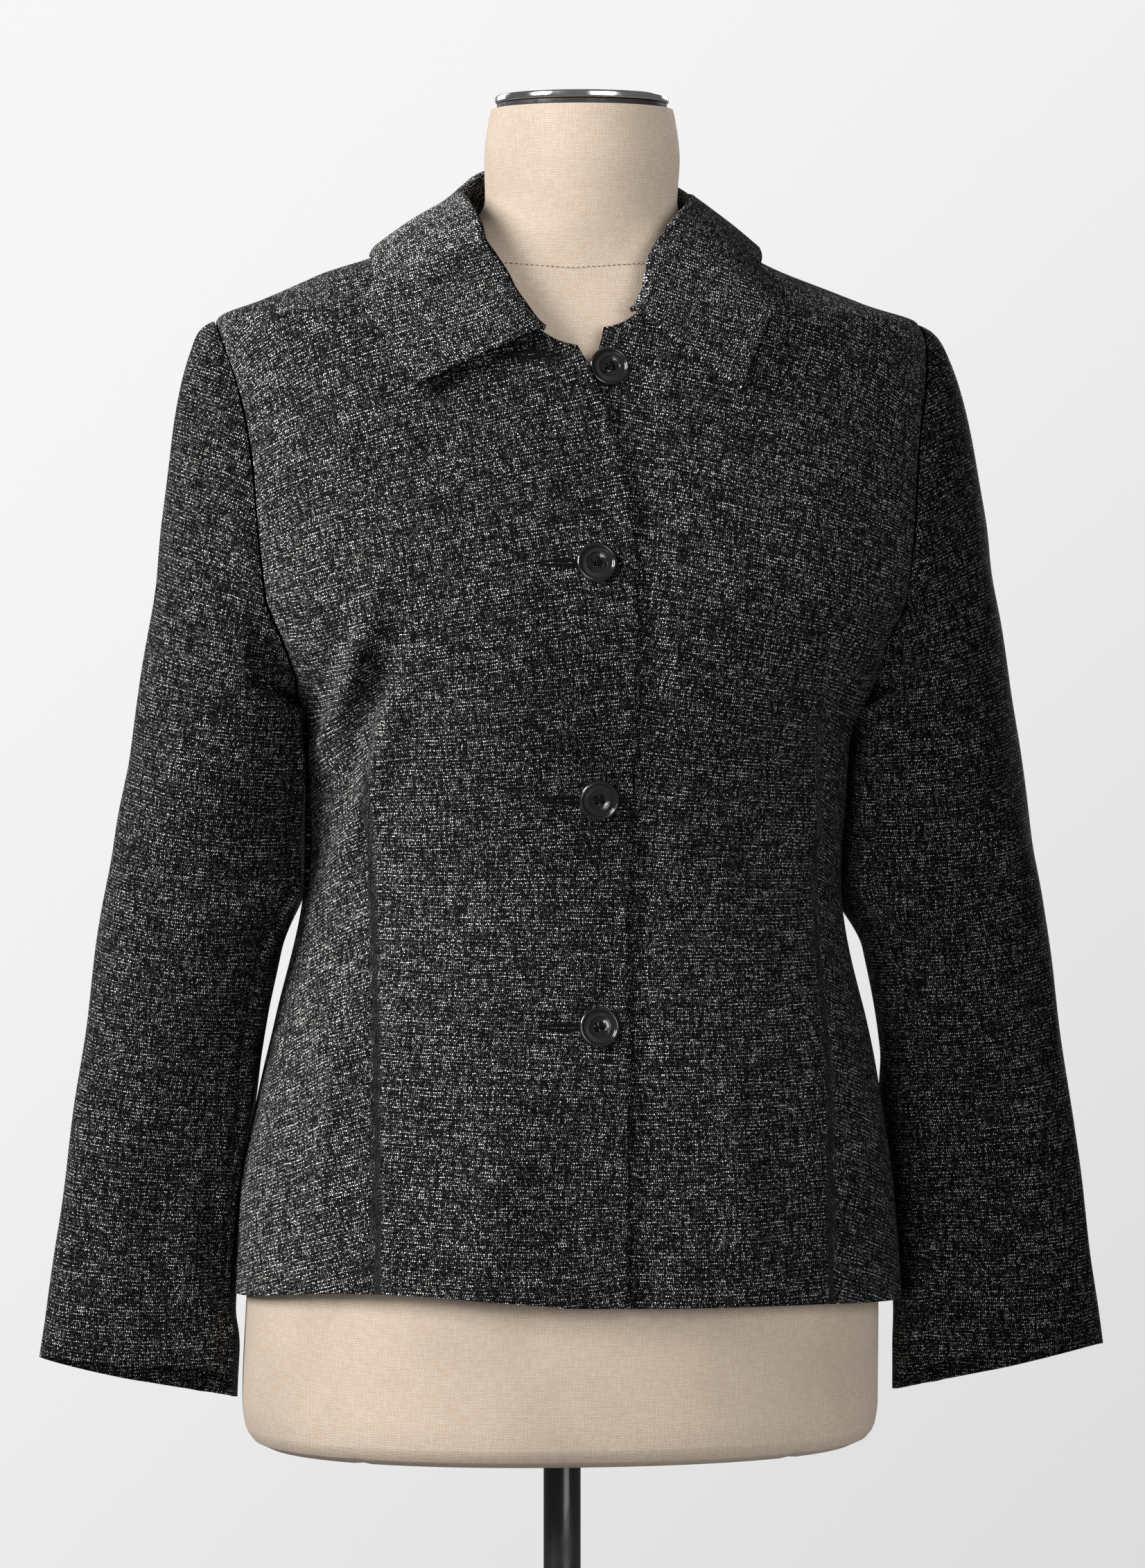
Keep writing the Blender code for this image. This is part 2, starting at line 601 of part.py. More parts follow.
def sleeve_panel(side, first_seam, last_seam, columns):
    """Outer points and directions of one sleeve piece."""
    angle = np.linspace(first_seam, last_seam, columns + 1)[None, :]
    cap = np.linspace(0, 1, CAP_ROWS, endpoint=False) ** CAP_SPREAD
    along = np.concatenate([cap, np.linspace(1, 2, ARM_ROWS + 1)])[:, None]
    step = 1e-3
    points = sleeve_point(angle, along, side)
    across = sleeve_point(angle + step, along, side) - sleeve_point(angle - step, along, side)
    start, end = np.maximum(along - step, 0), np.minimum(along + step, 2)
    down = sleeve_point(angle, end, side) - sleeve_point(angle, start, side)
    normals = unit(np.cross(across, down) * side)
    points = points + normals * sleeve_fold(angle, points)[..., None]
    pull_back(points, normals, "left")
    pull_back(points, normals, "right")
    return points, normals


def collar_line(turn, side):
    """Middle of the collar's wall at one turn, from the neckline up, over and down."""
    row = read_table(COLLAR_ROWS, COLLAR_COLUMNS, "turn", math.degrees(turn))
    step = 1e-3
    before, foot, after = (
        section_point(JACKET_SECTIONS, *neckline(turn + shift, side), side) for shift in (-step, 0, step)
    )
    round_neck = unit(after - before)
    edge_turn = math.radians(float(row["edge_turn"] + side * row["twist"]))
    edge = section_point(JACKET_SECTIONS, edge_turn, row["edge_height"], side)
    edge = edge + shell_normal(edge_turn, row["edge_height"], side) * (FALL_CLEAR + COLLAR_CLOTH / 2)
    plan = np.array([side * math.sin(turn), -math.cos(turn), 0.0])
    rise = np.array([0.0, 0.0, 1.0]) - plan * float(row["lean"])
    rise = unit(rise - round_neck * np.dot(rise, round_neck))
    outward = plan - rise * np.dot(plan, rise)
    outward = unit(outward - round_neck * np.dot(outward, round_neck))
    foot = foot - plan * (SEAM_GAP + COLLAR_CLOTH / 2) + rise * FOOT_LIFT
    top = foot + rise * float(row["stand"])
    stand = np.array([foot + (top - foot) * k / STAND_STEPS for k in range(STAND_STEPS + 1)])
    for _ in range(CLEAR_ROUNDS):
        stand = push_clear(FORM_SECTIONS, stand, COLLAR_CLOTH / 2 + NECK_CLEAR)
    roll = [
        stand[-1] + outward * ROLL_RADIUS * (1 - math.cos(a)) + rise * ROLL_RADIUS * math.sin(a)
        for a in np.linspace(0, math.pi, ROLL_STEPS + 1)[1:]
    ]
    start = roll[-1]
    belly = (start + edge) / 2 + (outward + rise) * FALL_BELLY
    fall = [
        start * (1 - t) ** 2 + belly * 2 * t * (1 - t) + edge * t * t
        for t in np.linspace(0, 1, FALL_STEPS + 1)[1:]
    ]
    fall = np.array(fall)
    for _ in range(CLEAR_ROUNDS):
        fall = push_clear(JACKET_SECTIONS, fall, COLLAR_CLOTH / 2 + FALL_CLEAR)
    return np.concatenate([stand, np.array(roll), fall])


def collar_panel():
    """Middle points and directions of the whole collar, right end to left end."""
    half = np.concatenate([neck_turns(1)[1:], neck_turns(-1)[::-1][1:]])
    lines = [collar_line(turn, -1) for turn in half]
    lines += [collar_line(turn, 1) for turn in half[::-1][1:]]
    points = np.array(lines)
    return points, unit(np.cross(even_tangent(points, 0), even_tangent(points, 1)))


def material(name):
    """Principled material from its row of values."""
    colour, roughness, metallic = MATERIALS[name]
    made = bpy.data.materials.get(name)
    if made:
        return made
    made = bpy.data.materials.new(name)
    made.use_nodes = True
    shader = made.node_tree.nodes["Principled BSDF"]
    shader.inputs["Base Color"].default_value = colour
    shader.inputs["Roughness"].default_value = roughness
    shader.inputs["Metallic"].default_value = metallic
    made.diffuse_color = colour
    return made


def add_object(name, bm, finish, sharp=35.0):
    """Object of a closed mesh, shaded smooth up to an angle."""
    bmesh.ops.recalc_face_normals(bm, faces=bm.faces)
    mesh = bpy.data.meshes.new(name)
    bm.to_mesh(mesh)
    bm.free()
    mesh.shade_smooth()
    mesh.set_sharp_from_angle(angle=math.radians(sharp))
    mesh.materials.append(material(finish))
    obj = bpy.data.objects.new(name, mesh)
    bpy.context.scene.collection.objects.link(obj)
    return obj


def add_wall(name, grids, out, thick, finish):
    """Closed wall through grids of points, each with its outward directions.

    out is the share of the thickness that lies outside the points.
    """
    bm = bmesh.new()
    outside, inside = {}, {}

    def corner(point, normal):
        key = tuple(np.round(point, 6))
        if key not in outside:
            outside[key] = bm.verts.new(point + normal * thick * out)
            inside[key] = bm.verts.new(point - normal * thick * (1 - out))
        return key

    edges = {}
    for points, normals in grids:
        rows, columns = points.shape[:2]
        keys = [[corner(points[i, j], normals[i, j]) for j in range(columns)] for i in range(rows)]
        for i in range(rows - 1):
            for j in range(columns - 1):
                loop = (keys[i][j], keys[i][j + 1], keys[i + 1][j + 1], keys[i + 1][j])
                bm.faces.new([outside[k] for k in loop])
                bm.faces.new([inside[k] for k in reversed(loop)])
                for a, b in zip(loop, loop[1:] + loop[:1]):
                    edges.setdefault(frozenset((a, b)), []).append((a, b))
    for uses in edges.values():
        if len(uses) == 1:
            a, b = uses[0]
            bm.faces.new([outside[b], outside[a], inside[a], inside[b]])
    return add_object(name, bm, finish, sharp=50.0)


def add_turned(name, profile, sides, finish, place=(0.0, 0.0, 0.0)):
    """Solid turned round +Z from a profile that starts and ends on its axis."""
    bm = bmesh.new()
    ring = [bm.verts.new((r, 0.0, z)) for r, z in profile]
    edges = [bm.edges.new(pair) for pair in zip(ring, ring[1:])]
    bmesh.ops.spin(
        bm, geom=ring + edges, cent=(0, 0, 0), axis=(0, 0, 1),
        angle=2 * math.pi, steps=sides, use_merge=True, use_duplicate=False,
    )
    bmesh.ops.remove_doubles(bm, verts=bm.verts, dist=1e-6)
    bmesh.ops.translate(bm, verts=bm.verts, vec=place)
    return add_object(name, bm, finish)


def add_form():
    """Linen body: stacked sections, capped above, with a socket for the pole below."""
    heights = [row[0] for row in FORM_SECTIONS]
    fine = [heights[0]]
    for low, high in zip(heights, heights[1:]):
        parts = 2 if high - low > 0.05 else 1
        fine += list(np.linspace(low, high, parts + 1)[1:])
    turn = np.linspace(0, 2 * math.pi, FORM_SIDES, endpoint=False)
    rings = [section_point(FORM_SECTIONS, turn, np.full(FORM_SIDES, z)) for z in fine]
    bore = POLE_RADIUS + 2 * SEAM_GAP
    circle = np.stack([bore * np.sin(turn), -bore * np.cos(turn), np.zeros(FORM_SIDES)], -1)
    socket_top = heights[0] + POLE_IN_FORM
    rings = [circle + (0, 0, socket_top), circle + (0, 0, heights[0])] + rings
    bm = bmesh.new()
    loops = [[bm.verts.new(p) for p in ring] for ring in rings]
    for low, high in zip(loops, loops[1:]):
        for k in range(FORM_SIDES):
            n = (k + 1) % FORM_SIDES
            bm.faces.new((low[k], low[n], high[n], high[k]))
    bm.faces.new(loops[0])
    bm.faces.new(loops[-1])
    return add_object("form_body", bm, "linen", sharp=40.0)


def add_stand():
    """Pole in its sockets, and the plain round foot."""
    socket_top = FORM_SECTIONS[0][0] + POLE_IN_FORM
    foot, head = BASE_SOCKET + SEAM_GAP, socket_top - SEAM_GAP
    add_turned("pole", ((0, head), (POLE_RADIUS, head), (POLE_RADIUS, foot), (0, foot)),
               POLE_SIDES, "stand_black")
    bore = POLE_RADIUS + SEAM_GAP
    add_turned("base", (
        (0, BASE_SOCKET), (bore, BASE_SOCKET), (bore, BASE_BOSS_TOP),
        (BASE_BOSS_RADIUS - BASE_ROUND, BASE_BOSS_TOP), (BASE_BOSS_RADIUS, BASE_BOSS_TOP - BASE_ROUND),
        (BASE_BOSS_RADIUS, BASE_TOP + BASE_FILLET), (BASE_BOSS_RADIUS + BASE_FILLET, BASE_TOP),
        (BASE_RADIUS - BASE_RIM, BASE_EDGE + BASE_RIM / 3), (BASE_RADIUS, BASE_EDGE - BASE_RIM / 3),
        (BASE_RADIUS, BASE_RIM / 6), (BASE_RADIUS - BASE_RIM / 6, 0), (0, 0),
    ), CAP_SIDES, "stand_black")


def add_neck_cap():
    """Dark band and polished cap on top of the neck."""
    place = (float(middle_at(FORM_SECTIONS, NECK_TOP)), NECK_CENTRE_Y, NECK_TOP + SEAM_GAP)
    add_turned("neck_ring", (
        (0, BAND_HEIGHT), (BAND_RADIUS, BAND_HEIGHT), (BAND_RADIUS, 0), (0, 0),
    ), CAP_SIDES, "dark_band", place)
    seat = (place[0], place[1], place[2] + BAND_HEIGHT + SEAM_GAP)
    add_turned("neck_cap", (
        (0, CAP_HEIGHT), (CAP_RADIUS * CAP_FLAT, CAP_HEIGHT * 0.96),
        (CAP_RADIUS - CAP_SHOULDER, CAP_HEIGHT * 0.82), (CAP_RADIUS - CAP_SHOULDER / 4, CAP_HEIGHT * 0.60),
        (CAP_RADIUS, CAP_HEIGHT / 3), (CAP_RADIUS - CAP_SHOULDER / 6, 0), (0, 0),
    ), CAP_SIDES, "chrome", seat)


def cloth_seat(panel, x, z, radius):
    """Point and direction on a front where a flat disc rests on its cloth."""
    far = 1.0
    face = Vector((0, 1, 0))
    hit, middle, _, _ = panel.ray_cast(Vector((x, -far, z)), face)
    z = np.array(z)
    normal = Vector(shell_normal(turn_at(x - middle_at(JACKET_SECTIONS, z), z), z, 1))
    rise = 0.0
    for k in range(BUTTON_SIDES):
        a = 2 * math.pi * k / BUTTON_SIDES
        for r in (radius, radius / 2):
            spot = Vector((x + r * math.cos(a), -far, float(z) + r * math.sin(a)))
            hit, place, _, _ = panel.ray_cast(spot, face)
            if hit:
                rise = max(rise, (place - middle).dot(normal))
    return middle + normal * (rise + SEAM_GAP), normal


def add_buttons(panels):
    """Turned buttons, each square to the cloth under it."""
    profile = [(BUTTON_RADIUS * share, height) for share, height in BUTTON_PROFILE]
    foot = BUTTON_RADIUS * BUTTON_FOOT
    for number, row in enumerate(BUTTONS, start=1):
        button = dict(zip(BUTTON_COLUMNS, row))
        x = button["x"] + float(middle_at(JACKET_SECTIONS, button["height"]))
        seat, normal = cloth_seat(panels[button["side"]], x, button["height"], foot)
        made = add_turned(f"button_{number}", profile, BUTTON_SIDES, "button_black")
        made.rotation_mode = "QUATERNION"
        made.rotation_quaternion = normal.to_track_quat("Z", "Y")
        made.location = seat


def main():
    """Build every piece of the jacket, the form and the stand."""
    for obj in list(bpy.data.objects):
        bpy.data.objects.remove(obj, do_unlink=True)
    add_form()
    add_neck_cap()
    add_stand()
    fronts = {}
    for side, word in ((-1, "right"), (1, "left")):
        fronts[side] = add_wall(f"front_{word}", [front_panel(side)], 0.0, CLOTH, "tweed")
        upper = sleeve_panel(side, BACK_SEAM, FRONT_SEAM, UPPER_COLUMNS)
        under = sleeve_panel(side, FRONT_SEAM, BACK_SEAM + 2 * math.pi, UNDER_COLUMNS)
        add_wall(f"upper_sleeve_{word}", [upper], 0.0, CLOTH, "tweed")
        add_wall(f"under_sleeve_{word}", [under], 0.0, CLOTH, "tweed")
    add_wall("back", [back_half(-1), back_half(1)], 0.0, CLOTH, "tweed")
    add_wall("collar", [collar_panel()], 0.5, COLLAR_CLOTH, "tweed")
    add_buttons(fronts)


main()
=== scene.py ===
"""Dressed look of a fitted tweed jacket on a limbless dress form.

Metres, +Z up. The front faces -Y and the wearer's left is +X. Each cloth piece
is a fine shell on the form of its solid, with its seams, darts and creases.
"""
import logging
import math
from collections.abc import Iterable
from dataclasses import dataclass, field, replace
from enum import Enum

import bpy
import numpy as np
from bpy.types import ID, Material, Node, NodeSocket, NodeTree, Object
from mathutils import Matrix, Vector


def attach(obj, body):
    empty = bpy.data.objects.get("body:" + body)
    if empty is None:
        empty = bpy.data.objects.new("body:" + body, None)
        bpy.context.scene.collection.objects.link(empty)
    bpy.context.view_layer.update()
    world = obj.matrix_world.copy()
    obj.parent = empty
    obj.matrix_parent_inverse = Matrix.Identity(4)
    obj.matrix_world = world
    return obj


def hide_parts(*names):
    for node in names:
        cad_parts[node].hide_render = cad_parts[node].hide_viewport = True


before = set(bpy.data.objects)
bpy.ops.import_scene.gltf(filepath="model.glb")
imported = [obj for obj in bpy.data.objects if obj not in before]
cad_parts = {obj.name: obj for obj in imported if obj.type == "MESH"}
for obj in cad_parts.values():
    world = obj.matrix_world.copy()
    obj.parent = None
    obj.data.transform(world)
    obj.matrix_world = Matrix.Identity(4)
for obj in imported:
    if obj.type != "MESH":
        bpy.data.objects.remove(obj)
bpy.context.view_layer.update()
LOG = logging.getLogger("jacket")

Array = np.ndarray
ArrayPair = tuple[Array, Array]
Pair = tuple[float, float]
Place = tuple[float, float, float]
Colour = tuple[float, float, float, float]

# Outer surface of the jacket, a row for each height
SECTION_COLUMNS = ("height", "middle_x", "half_width", "front", "back", "squareness", "widest_y")
JACKET_SECTIONS = (
    (0.77, 0.003, 0.1985, 0.148, 0.142, 2.2, 0.0),
    (0.85, 0.003, 0.193, 0.147, 0.143, 2.2, 0.0),
    (0.905, 0.004, 0.184, 0.142, 0.136, 2.2, 0.0),
    (0.95, 0.005, 0.1745, 0.136, 0.124, 2.2, 0.0),
    (1.035, 0.006, 0.159, 0.125, 0.103, 2.2, 0.0),
    (1.085, 0.0075, 0.159, 0.132, 0.104, 2.25, 0.0),
    (1.115, 0.0085, 0.1615, 0.141, 0.107, 2.3, 0.0),
    (1.143, 0.0085, 0.169, 0.148, 0.111, 2.35, 0.0),
    (1.17, 0.008, 0.185, 0.151, 0.114, 2.4, 0.0),
    (1.2, 0.0075, 0.203, 0.148, 0.117, 2.4, 0.0),
    (1.256, 0.008, 0.213, 0.133, 0.118, 2.4, 0.0),
    (1.316, 0.008, 0.2145, 0.1165, 0.111, 2.35, 0.0),
    (1.345, 0.006, 0.213, 0.108, 0.102, 2.32, 0.0),
    (1.361, 0.003, 0.2085, 0.103, 0.097, 2.3, 0.0),
    (1.3725, -0.001, 0.18, 0.0985, 0.0925, 2.25, 0.0),
    (1.388, -0.0045, 0.141, 0.093, 0.085, 2.2, 0.0),
    (1.4, 0.0005, 0.11, 0.088, 0.0775, 2.2, 0.0),
    (1.4115, 0.005, 0.085, 0.0815, 0.068, 2.2, 0.0),
    (1.4235, 0.0065, 0.07, 0.0745, 0.059, 2.2, 0.0),
    (1.445, 0.007, 0.06, 0.062, 0.045, 2.2, 0.0),
)

# Linen form inside the jacket, bare below the hem and at the neck
FORM_SECTIONS = (
    (0.7, -0.001, 0.174, 0.119, 0.113, 2.2, 0.0),
    (0.7035, -0.001, 0.1815, 0.126, 0.1205, 2.2, 0.0),
    (0.711, -0.001, 0.1862, 0.1305, 0.125, 2.2, 0.0),
    (0.725, -0.001, 0.188, 0.132, 0.127, 2.2, 0.0),
    (0.79, 0.0005, 0.1868, 0.133, 0.129, 2.2, 0.0),
    (0.85, 0.0015, 0.181, 0.133, 0.13, 2.2, 0.0),
    (0.905, 0.0025, 0.172, 0.129, 0.123, 2.2, 0.0),
    (0.95, 0.0035, 0.1625, 0.123, 0.111, 2.2, 0.0),
    (1.035, 0.005, 0.148, 0.113, 0.091, 2.2, 0.0),
    (1.085, 0.006, 0.148, 0.118, 0.093, 2.25, 0.0),
    (1.115, 0.0065, 0.1505, 0.127, 0.097, 2.3, 0.0),
    (1.143, 0.0065, 0.156, 0.135, 0.101, 2.35, 0.0),
    (1.17, 0.0065, 0.162, 0.139, 0.104, 2.35, 0.0),
    (1.2, 0.0065, 0.166, 0.135, 0.107, 2.3, 0.0),
    (1.256, 0.0065, 0.1725, 0.118, 0.107, 2.25, 0.0),
    (1.3, 0.0065, 0.1755, 0.1065, 0.101, 2.2, 0.0),
    (1.335, 0.0065, 0.1755, 0.0975, 0.0935, 2.2, 0.0),
    (1.352, 0.003, 0.1735, 0.0925, 0.089, 2.2, 0.0),
    (1.368, -0.001, 0.165, 0.0875, 0.0845, 2.2, 0.0),
    (1.3849, -0.004, 0.14, 0.0815, 0.0775, 2.2, 0.0),
    (1.3969, -0.0005, 0.1075, 0.0775, 0.069, 2.2, -0.001),
    (1.409, 0.005, 0.0795, 0.0755, 0.0595, 2.2, -0.005),
    (1.419, 0.0085, 0.0625, 0.0752, 0.052, 2.15, -0.01),
    (1.432, 0.0095, 0.0565, 0.0762, 0.0435, 2.1, -0.016),
    (1.456, 0.0095, 0.0575, 0.0775, 0.0355, 2.05, -0.021),
    (1.48, 0.0095, 0.0547, 0.0765, 0.033, 2.0, -0.0215),
    (1.485, 0.0095, 0.0535, 0.0752, 0.0318, 2.0, -0.0215),
)

# Sleeve rings below the cap
RING_COLUMNS = ("height", "out", "back", "half_width", "half_depth")
SLEEVE_RINGS = (
    (0.738, 0.2565, 0.019, 0.0605, 0.037),
    (0.845, 0.248, 0.02, 0.055, 0.044),
    (0.945, 0.236, 0.018, 0.054, 0.05),
    (1.011, 0.2255, 0.014, 0.056, 0.057),
    (1.095, 0.2165, 0.006, 0.0495, 0.064),
)

# Collar, a row for each turn round the neck in degrees
COLLAR_COLUMNS = ("turn", "edge_turn", "twist", "edge_height", "stand", "lean")
COLLAR_ROWS = (
    (15.0, 22.1, -3.2, 1.3165, 0.0045, 0.36),
    (40.0, 28.1, -3.0, 1.352, 0.011, 0.36),
    (65.0, 41.0, -0.8, 1.38, 0.0165, 0.45),
    (80.0, 56.0, 0.0, 1.3915, 0.018, 0.58),
    (90.0, 90.0, 0.0, 1.4052, 0.019, 0.68),
    (112.0, 127.0, 0.0, 1.399, 0.0235, 0.62),
    (135.0, 142.0, 0.0, 1.393, 0.0285, 0.52),
    (158.0, 162.0, 0.0, 1.391, 0.031, 0.5),
    (180.0, 180.0, 0.0, 1.39, 0.032, 0.5),
)


class Side(Enum):
    """Side of the wearer; the value is the sign of X."""

    RIGHT = -1
    LEFT = 1

    @property
    def word(self) -> str:
        """Word used in the pieces' names."""
        return self.name.lower()


class Facing(Enum):
    """Half of the armhole that a panel borders."""

    FRONT = 1
    BACK = -1


class Border(Enum):
    """Border of a cloth grid that meets a seam."""

    FIRST_COLUMN = "first column"
    LAST_COLUMN = "last column"
    LAST_ROW = "last row"


class Held(Enum):
    """How a sheet of cloth is held."""

    DRAPED = "draped"
    FOLDED = "folded"


def curve_through(knots: Array, values: Array, at: Array) -> Array:
    """Monotone cubic through knots, held at its end values outside them.

    Args:
        knots: rising places of the known values.
        values: the known values.
        at: places to read.

    Returns:
        The curve's values at those places.
    """
    knots = np.asarray(knots, float)
    values = np.asarray(values, float)
    steps = np.diff(knots)
    slopes = np.diff(values) / steps
    tangents = np.empty_like(values)
    tangents[0] = slopes[0]
    tangents[-1] = slopes[-1]
    before, after = slopes[:-1], slopes[1:]
    same_way = before * after > 0
    total = np.where(same_way, before + after, 1.0)
    tangents[1:-1] = np.where(same_way, 2 * before * after / total, 0.0)
    at = np.clip(np.asarray(at, float), knots[0], knots[-1])
    k = np.clip(np.searchsorted(knots, at, side="right") - 1, 0, len(steps) - 1)
    h = steps[k]
    t = (at - knots[k]) / h
    return (
        values[k] * (1 + 2 * t) * (1 - t) ** 2
        + values[k + 1] * t * t * (3 - 2 * t)
        + h * tangents[k] * t * (1 - t) ** 2
        + h * tangents[k + 1] * t * t * (t - 1)
    )


def read_table(rows: tuple, columns: tuple[str, ...], at: Array) -> dict[str, Array]:
    """Columns of a table, read at values of its first column.

    Args:
        rows: the table's rows, rising in the first column.
        columns: the columns' names.
        at: values of the first column.

    Returns:
        Each other column's values, by its name.
    """
    table = list(zip(*rows))
    return {name: curve_through(table[0], table[i], at) for i, name in enumerate(columns) if i}


def smooth_step(t: Array) -> Array:
    """Ease from 0 to 1 with flat ends."""
    t = np.clip(t, 0.0, 1.0)
    return t * t * (3 - 2 * t)


def unit(vectors: Array) -> Array:
    """Vectors at length one."""
    length = np.linalg.norm(vectors, axis=-1, keepdims=True)
    return vectors / np.maximum(length, 1e-12)


def signed_power(value: Array, power: Array | float) -> Array:
    """Power of a value's size, with the value's sign."""
    return np.sign(value) * np.abs(value) ** power


def square_to(vectors: Array, way: Array) -> Array:
    """Vectors without their part along a unit direction."""
    return vectors - way * np.sum(vectors * way, axis=-1, keepdims=True)


def bell(distance: Array, reach: float) -> Array:
    """Bell curve, 1 at no distance and falling away over the reach."""
    return np.exp(-((distance / reach) ** 2))


def wrapped(angle: Array) -> Array:
    """Angle brought between minus pi and pi."""
    return np.remainder(angle + math.pi, 2 * math.pi) - math.pi


def run_length(points: Array, axis: int) -> Array:
    """Length walked along one axis of a grid, from 0 at its start."""
    steps = np.linalg.norm(np.diff(points, axis=axis), axis=-1)
    return np.cumsum(np.insert(steps, 0, 0.0, axis=axis), axis=axis)


def between(start: ArrayPair, end: ArrayPair, share: Array) -> ArrayPair:
    """Turns and heights part of the way from one border to another."""
    return tuple(a[:, None] * (1 - share) + b[:, None] * share for a, b in zip(start, end))


def even_tangent(points: Array, axis: int) -> Array:
    """Direction along a grid that halves the angle at each point.

    Args:
        points: grid of places.
        axis: the grid's axis to follow.

    Returns:
        A unit direction for each place.
    """
    points = np.moveaxis(points, axis, 0)
    steps = unit(np.diff(points, axis=0))
    both = np.concatenate([steps[:1], unit(steps[:-1] + steps[1:]), steps[-1:]])
    return np.moveaxis(both, 0, axis)


@dataclass(frozen=True)
class SectionStack:
    """Stack of level sections that a surface runs through."""

    rows: tuple

    def read(self, height: Array) -> dict[str, Array]:
        """Sizes of the sections at some heights."""
        return read_table(self.rows, SECTION_COLUMNS, height)

    def middle(self, height: Array) -> Array:
        """Sideways place of the stack's middle."""
        return self.read(height)["middle_x"]

    def point(self, turn: Array, height: Array, side: int = 1) -> Array:
        """Places on the surface.

        Args:
            turn: angle round the stack, 0 at centre front and pi at centre back.
            height: height above the floor.
            side: sign of X that the turn goes to.

        Returns:
            Places, with X, Y and Z on the last axis.
        """
        turn, height = np.broadcast_arrays(np.asarray(turn, float), np.asarray(height, float))
        s = self.read(height)
        power = 2.0 / s["squareness"]
        sine, cosine = np.sin(turn), np.cos(turn)
        x = side * s["half_width"] * signed_power(sine, power)
        deep = np.where(cosine > 0, s["front"] + s["widest_y"], s["back"] - s["widest_y"])
        y = s["widest_y"] - deep * signed_power(cosine, power)
        return np.stack([s["middle_x"] + x, y, height], axis=-1)

    def level(self, points: Array) -> Array:
        """Size of the section through each place, as a share of the real one."""
        x, y = points[..., 0], points[..., 1]
        s = self.read(points[..., 2])
        n = s["squareness"]
        ahead = y < s["widest_y"]
        deep = np.where(ahead, s["front"] + s["widest_y"], s["back"] - s["widest_y"])
        across = np.abs(x - s["middle_x"]) / s["half_width"]
        along = np.abs(y - s["widest_y"]) / deep
        return (across**n + along**n) ** (1.0 / n)

    def push_clear(
        self, points: Array, clear: float, weight: Array | float = 1.0, soft: float = 0.0005
    ) -> Array:
        """Places moved out until they stand softly clear of the surface.

        Args:
            points: places to move.
            clear: least distance from the surface.
            weight: share of the move that each place makes.
            soft: how gradually the move sets in.

        Returns:
            The moved places.
        """
        step = 1e-4
        level = self.level(points)
        slope = np.stack(
            [
                (self.level(points + step * axis) - self.level(points - step * axis)) / (2 * step)
                for axis in np.eye(3)
            ],
            axis=-1,
        )
        steep = np.maximum(np.linalg.norm(slope, axis=-1), 1e-6)
        short = clear - (level - 1.0) / steep
        move = 0.5 * (short + np.sqrt(short**2 + soft**2)) * weight
        return points + slope / steep[..., None] * move[..., None]

    def normal(self, turn: Array, height: Array, side: int) -> Array:
        """Outward directions of the surface.

        Args:
            turn: angle round the stack.
            height: height above the floor.
            side: sign of X that the turn goes to.

        Returns:
            Unit directions.
        """
        step = 1e-3
        along = self.point(turn + step, height, side) - self.point(turn - step, height, side)
        up = self.point(turn, height + step, side) - self.point(turn, height - step, side)
        return unit(np.cross(along, up) * side)

    def turn_at(self, x: Array, height: Array) -> Array:
        """Turn on the front at a sideways distance from the middle."""
        s = self.read(height)
        share = np.clip(np.abs(x) / s["half_width"], 0.0, 1.0)
        return np.sign(x) * np.arcsin(share ** (s["squareness"] / 2))


@dataclass
class ClothGrid:
    """Outer places and outward directions of one cloth piece, rows by columns."""

    points: Array
    normals: Array
    least_clear: float = 0.0004

    def raise_by(self, height: Array) -> None:
        """Move every place along its direction."""
        self.points = self.points + self.normals * height[..., None]

    def clear_form(self, cut: "JacketCut", height: Array) -> None:
        """Hold troughs clear of the form under the cloth."""
        share = smooth_step(-height / self.least_clear)
        self.points = cut.form.push_clear(self.points, cut.cloth + self.least_clear, share)

    def edge_distance(self, border: Border) -> Array:
        """Distance of every place from one border, along the cloth."""
        axis = 0 if border is Border.LAST_ROW else 1
        points = self.points if border is Border.FIRST_COLUMN else np.flip(self.points, axis)
        run = run_length(points, axis)
        return run if border is Border.FIRST_COLUMN else np.flip(run, axis)

    def pull_back(self, border: Border, gap: float) -> None:
        """Draw one border back along the cloth by its share of a seam.

        Args:
            border: the border that meets the seam.
            gap: how far it is drawn back.
        """
        views = {
            Border.FIRST_COLUMN: lambda grid: grid,
            Border.LAST_COLUMN: lambda grid: grid[:, ::-1],
            Border.LAST_ROW: lambda grid: grid[::-1].swapaxes(0, 1),
        }
        grid = views[border](self.points)
        square = unit(np.cross(views[border](self.normals)[:, 0], even_tangent(grid[:, 0], 0)))
        inward = np.sum(square * (grid[:, 1] - grid[:, 0]), axis=-1, keepdims=True)
        grid[:, 0] += square * np.sign(inward) * gap


@dataclass(frozen=True)
class Crease:
    """Soft ridge, or trough where its height is below zero, between two places."""

    start: Pair
    end: Pair
    half_width: float
    height: float
    bow: float = 0.0

    def rise(self, across: Array, up: Array) -> Array:
        """Height of the crease.

        Args:
            across: sideways places.
            up: heights of the places.

        Returns:
            How far the crease lifts each place.
        """
        run = np.subtract(self.end, self.start)
        length = float(np.linalg.norm(run))
        side, rise = across - self.start[0], up - self.start[1]
        along = np.clip((side * run[0] + rise * run[1]) / length**2, 0.0, 1.0)
        off = (side * run[1] - rise * run[0]) / length - self.bow * 4 * along * (1 - along)
        return self.height * np.sin(math.pi * along) * bell(off, self.half_width)


def creases(*rows: tuple[float, ...]) -> tuple[Crease, ...]:
    """Creases from rows of their numbers."""
    return tuple(Crease(row[:2], row[2:4], *row[4:]) for row in rows)


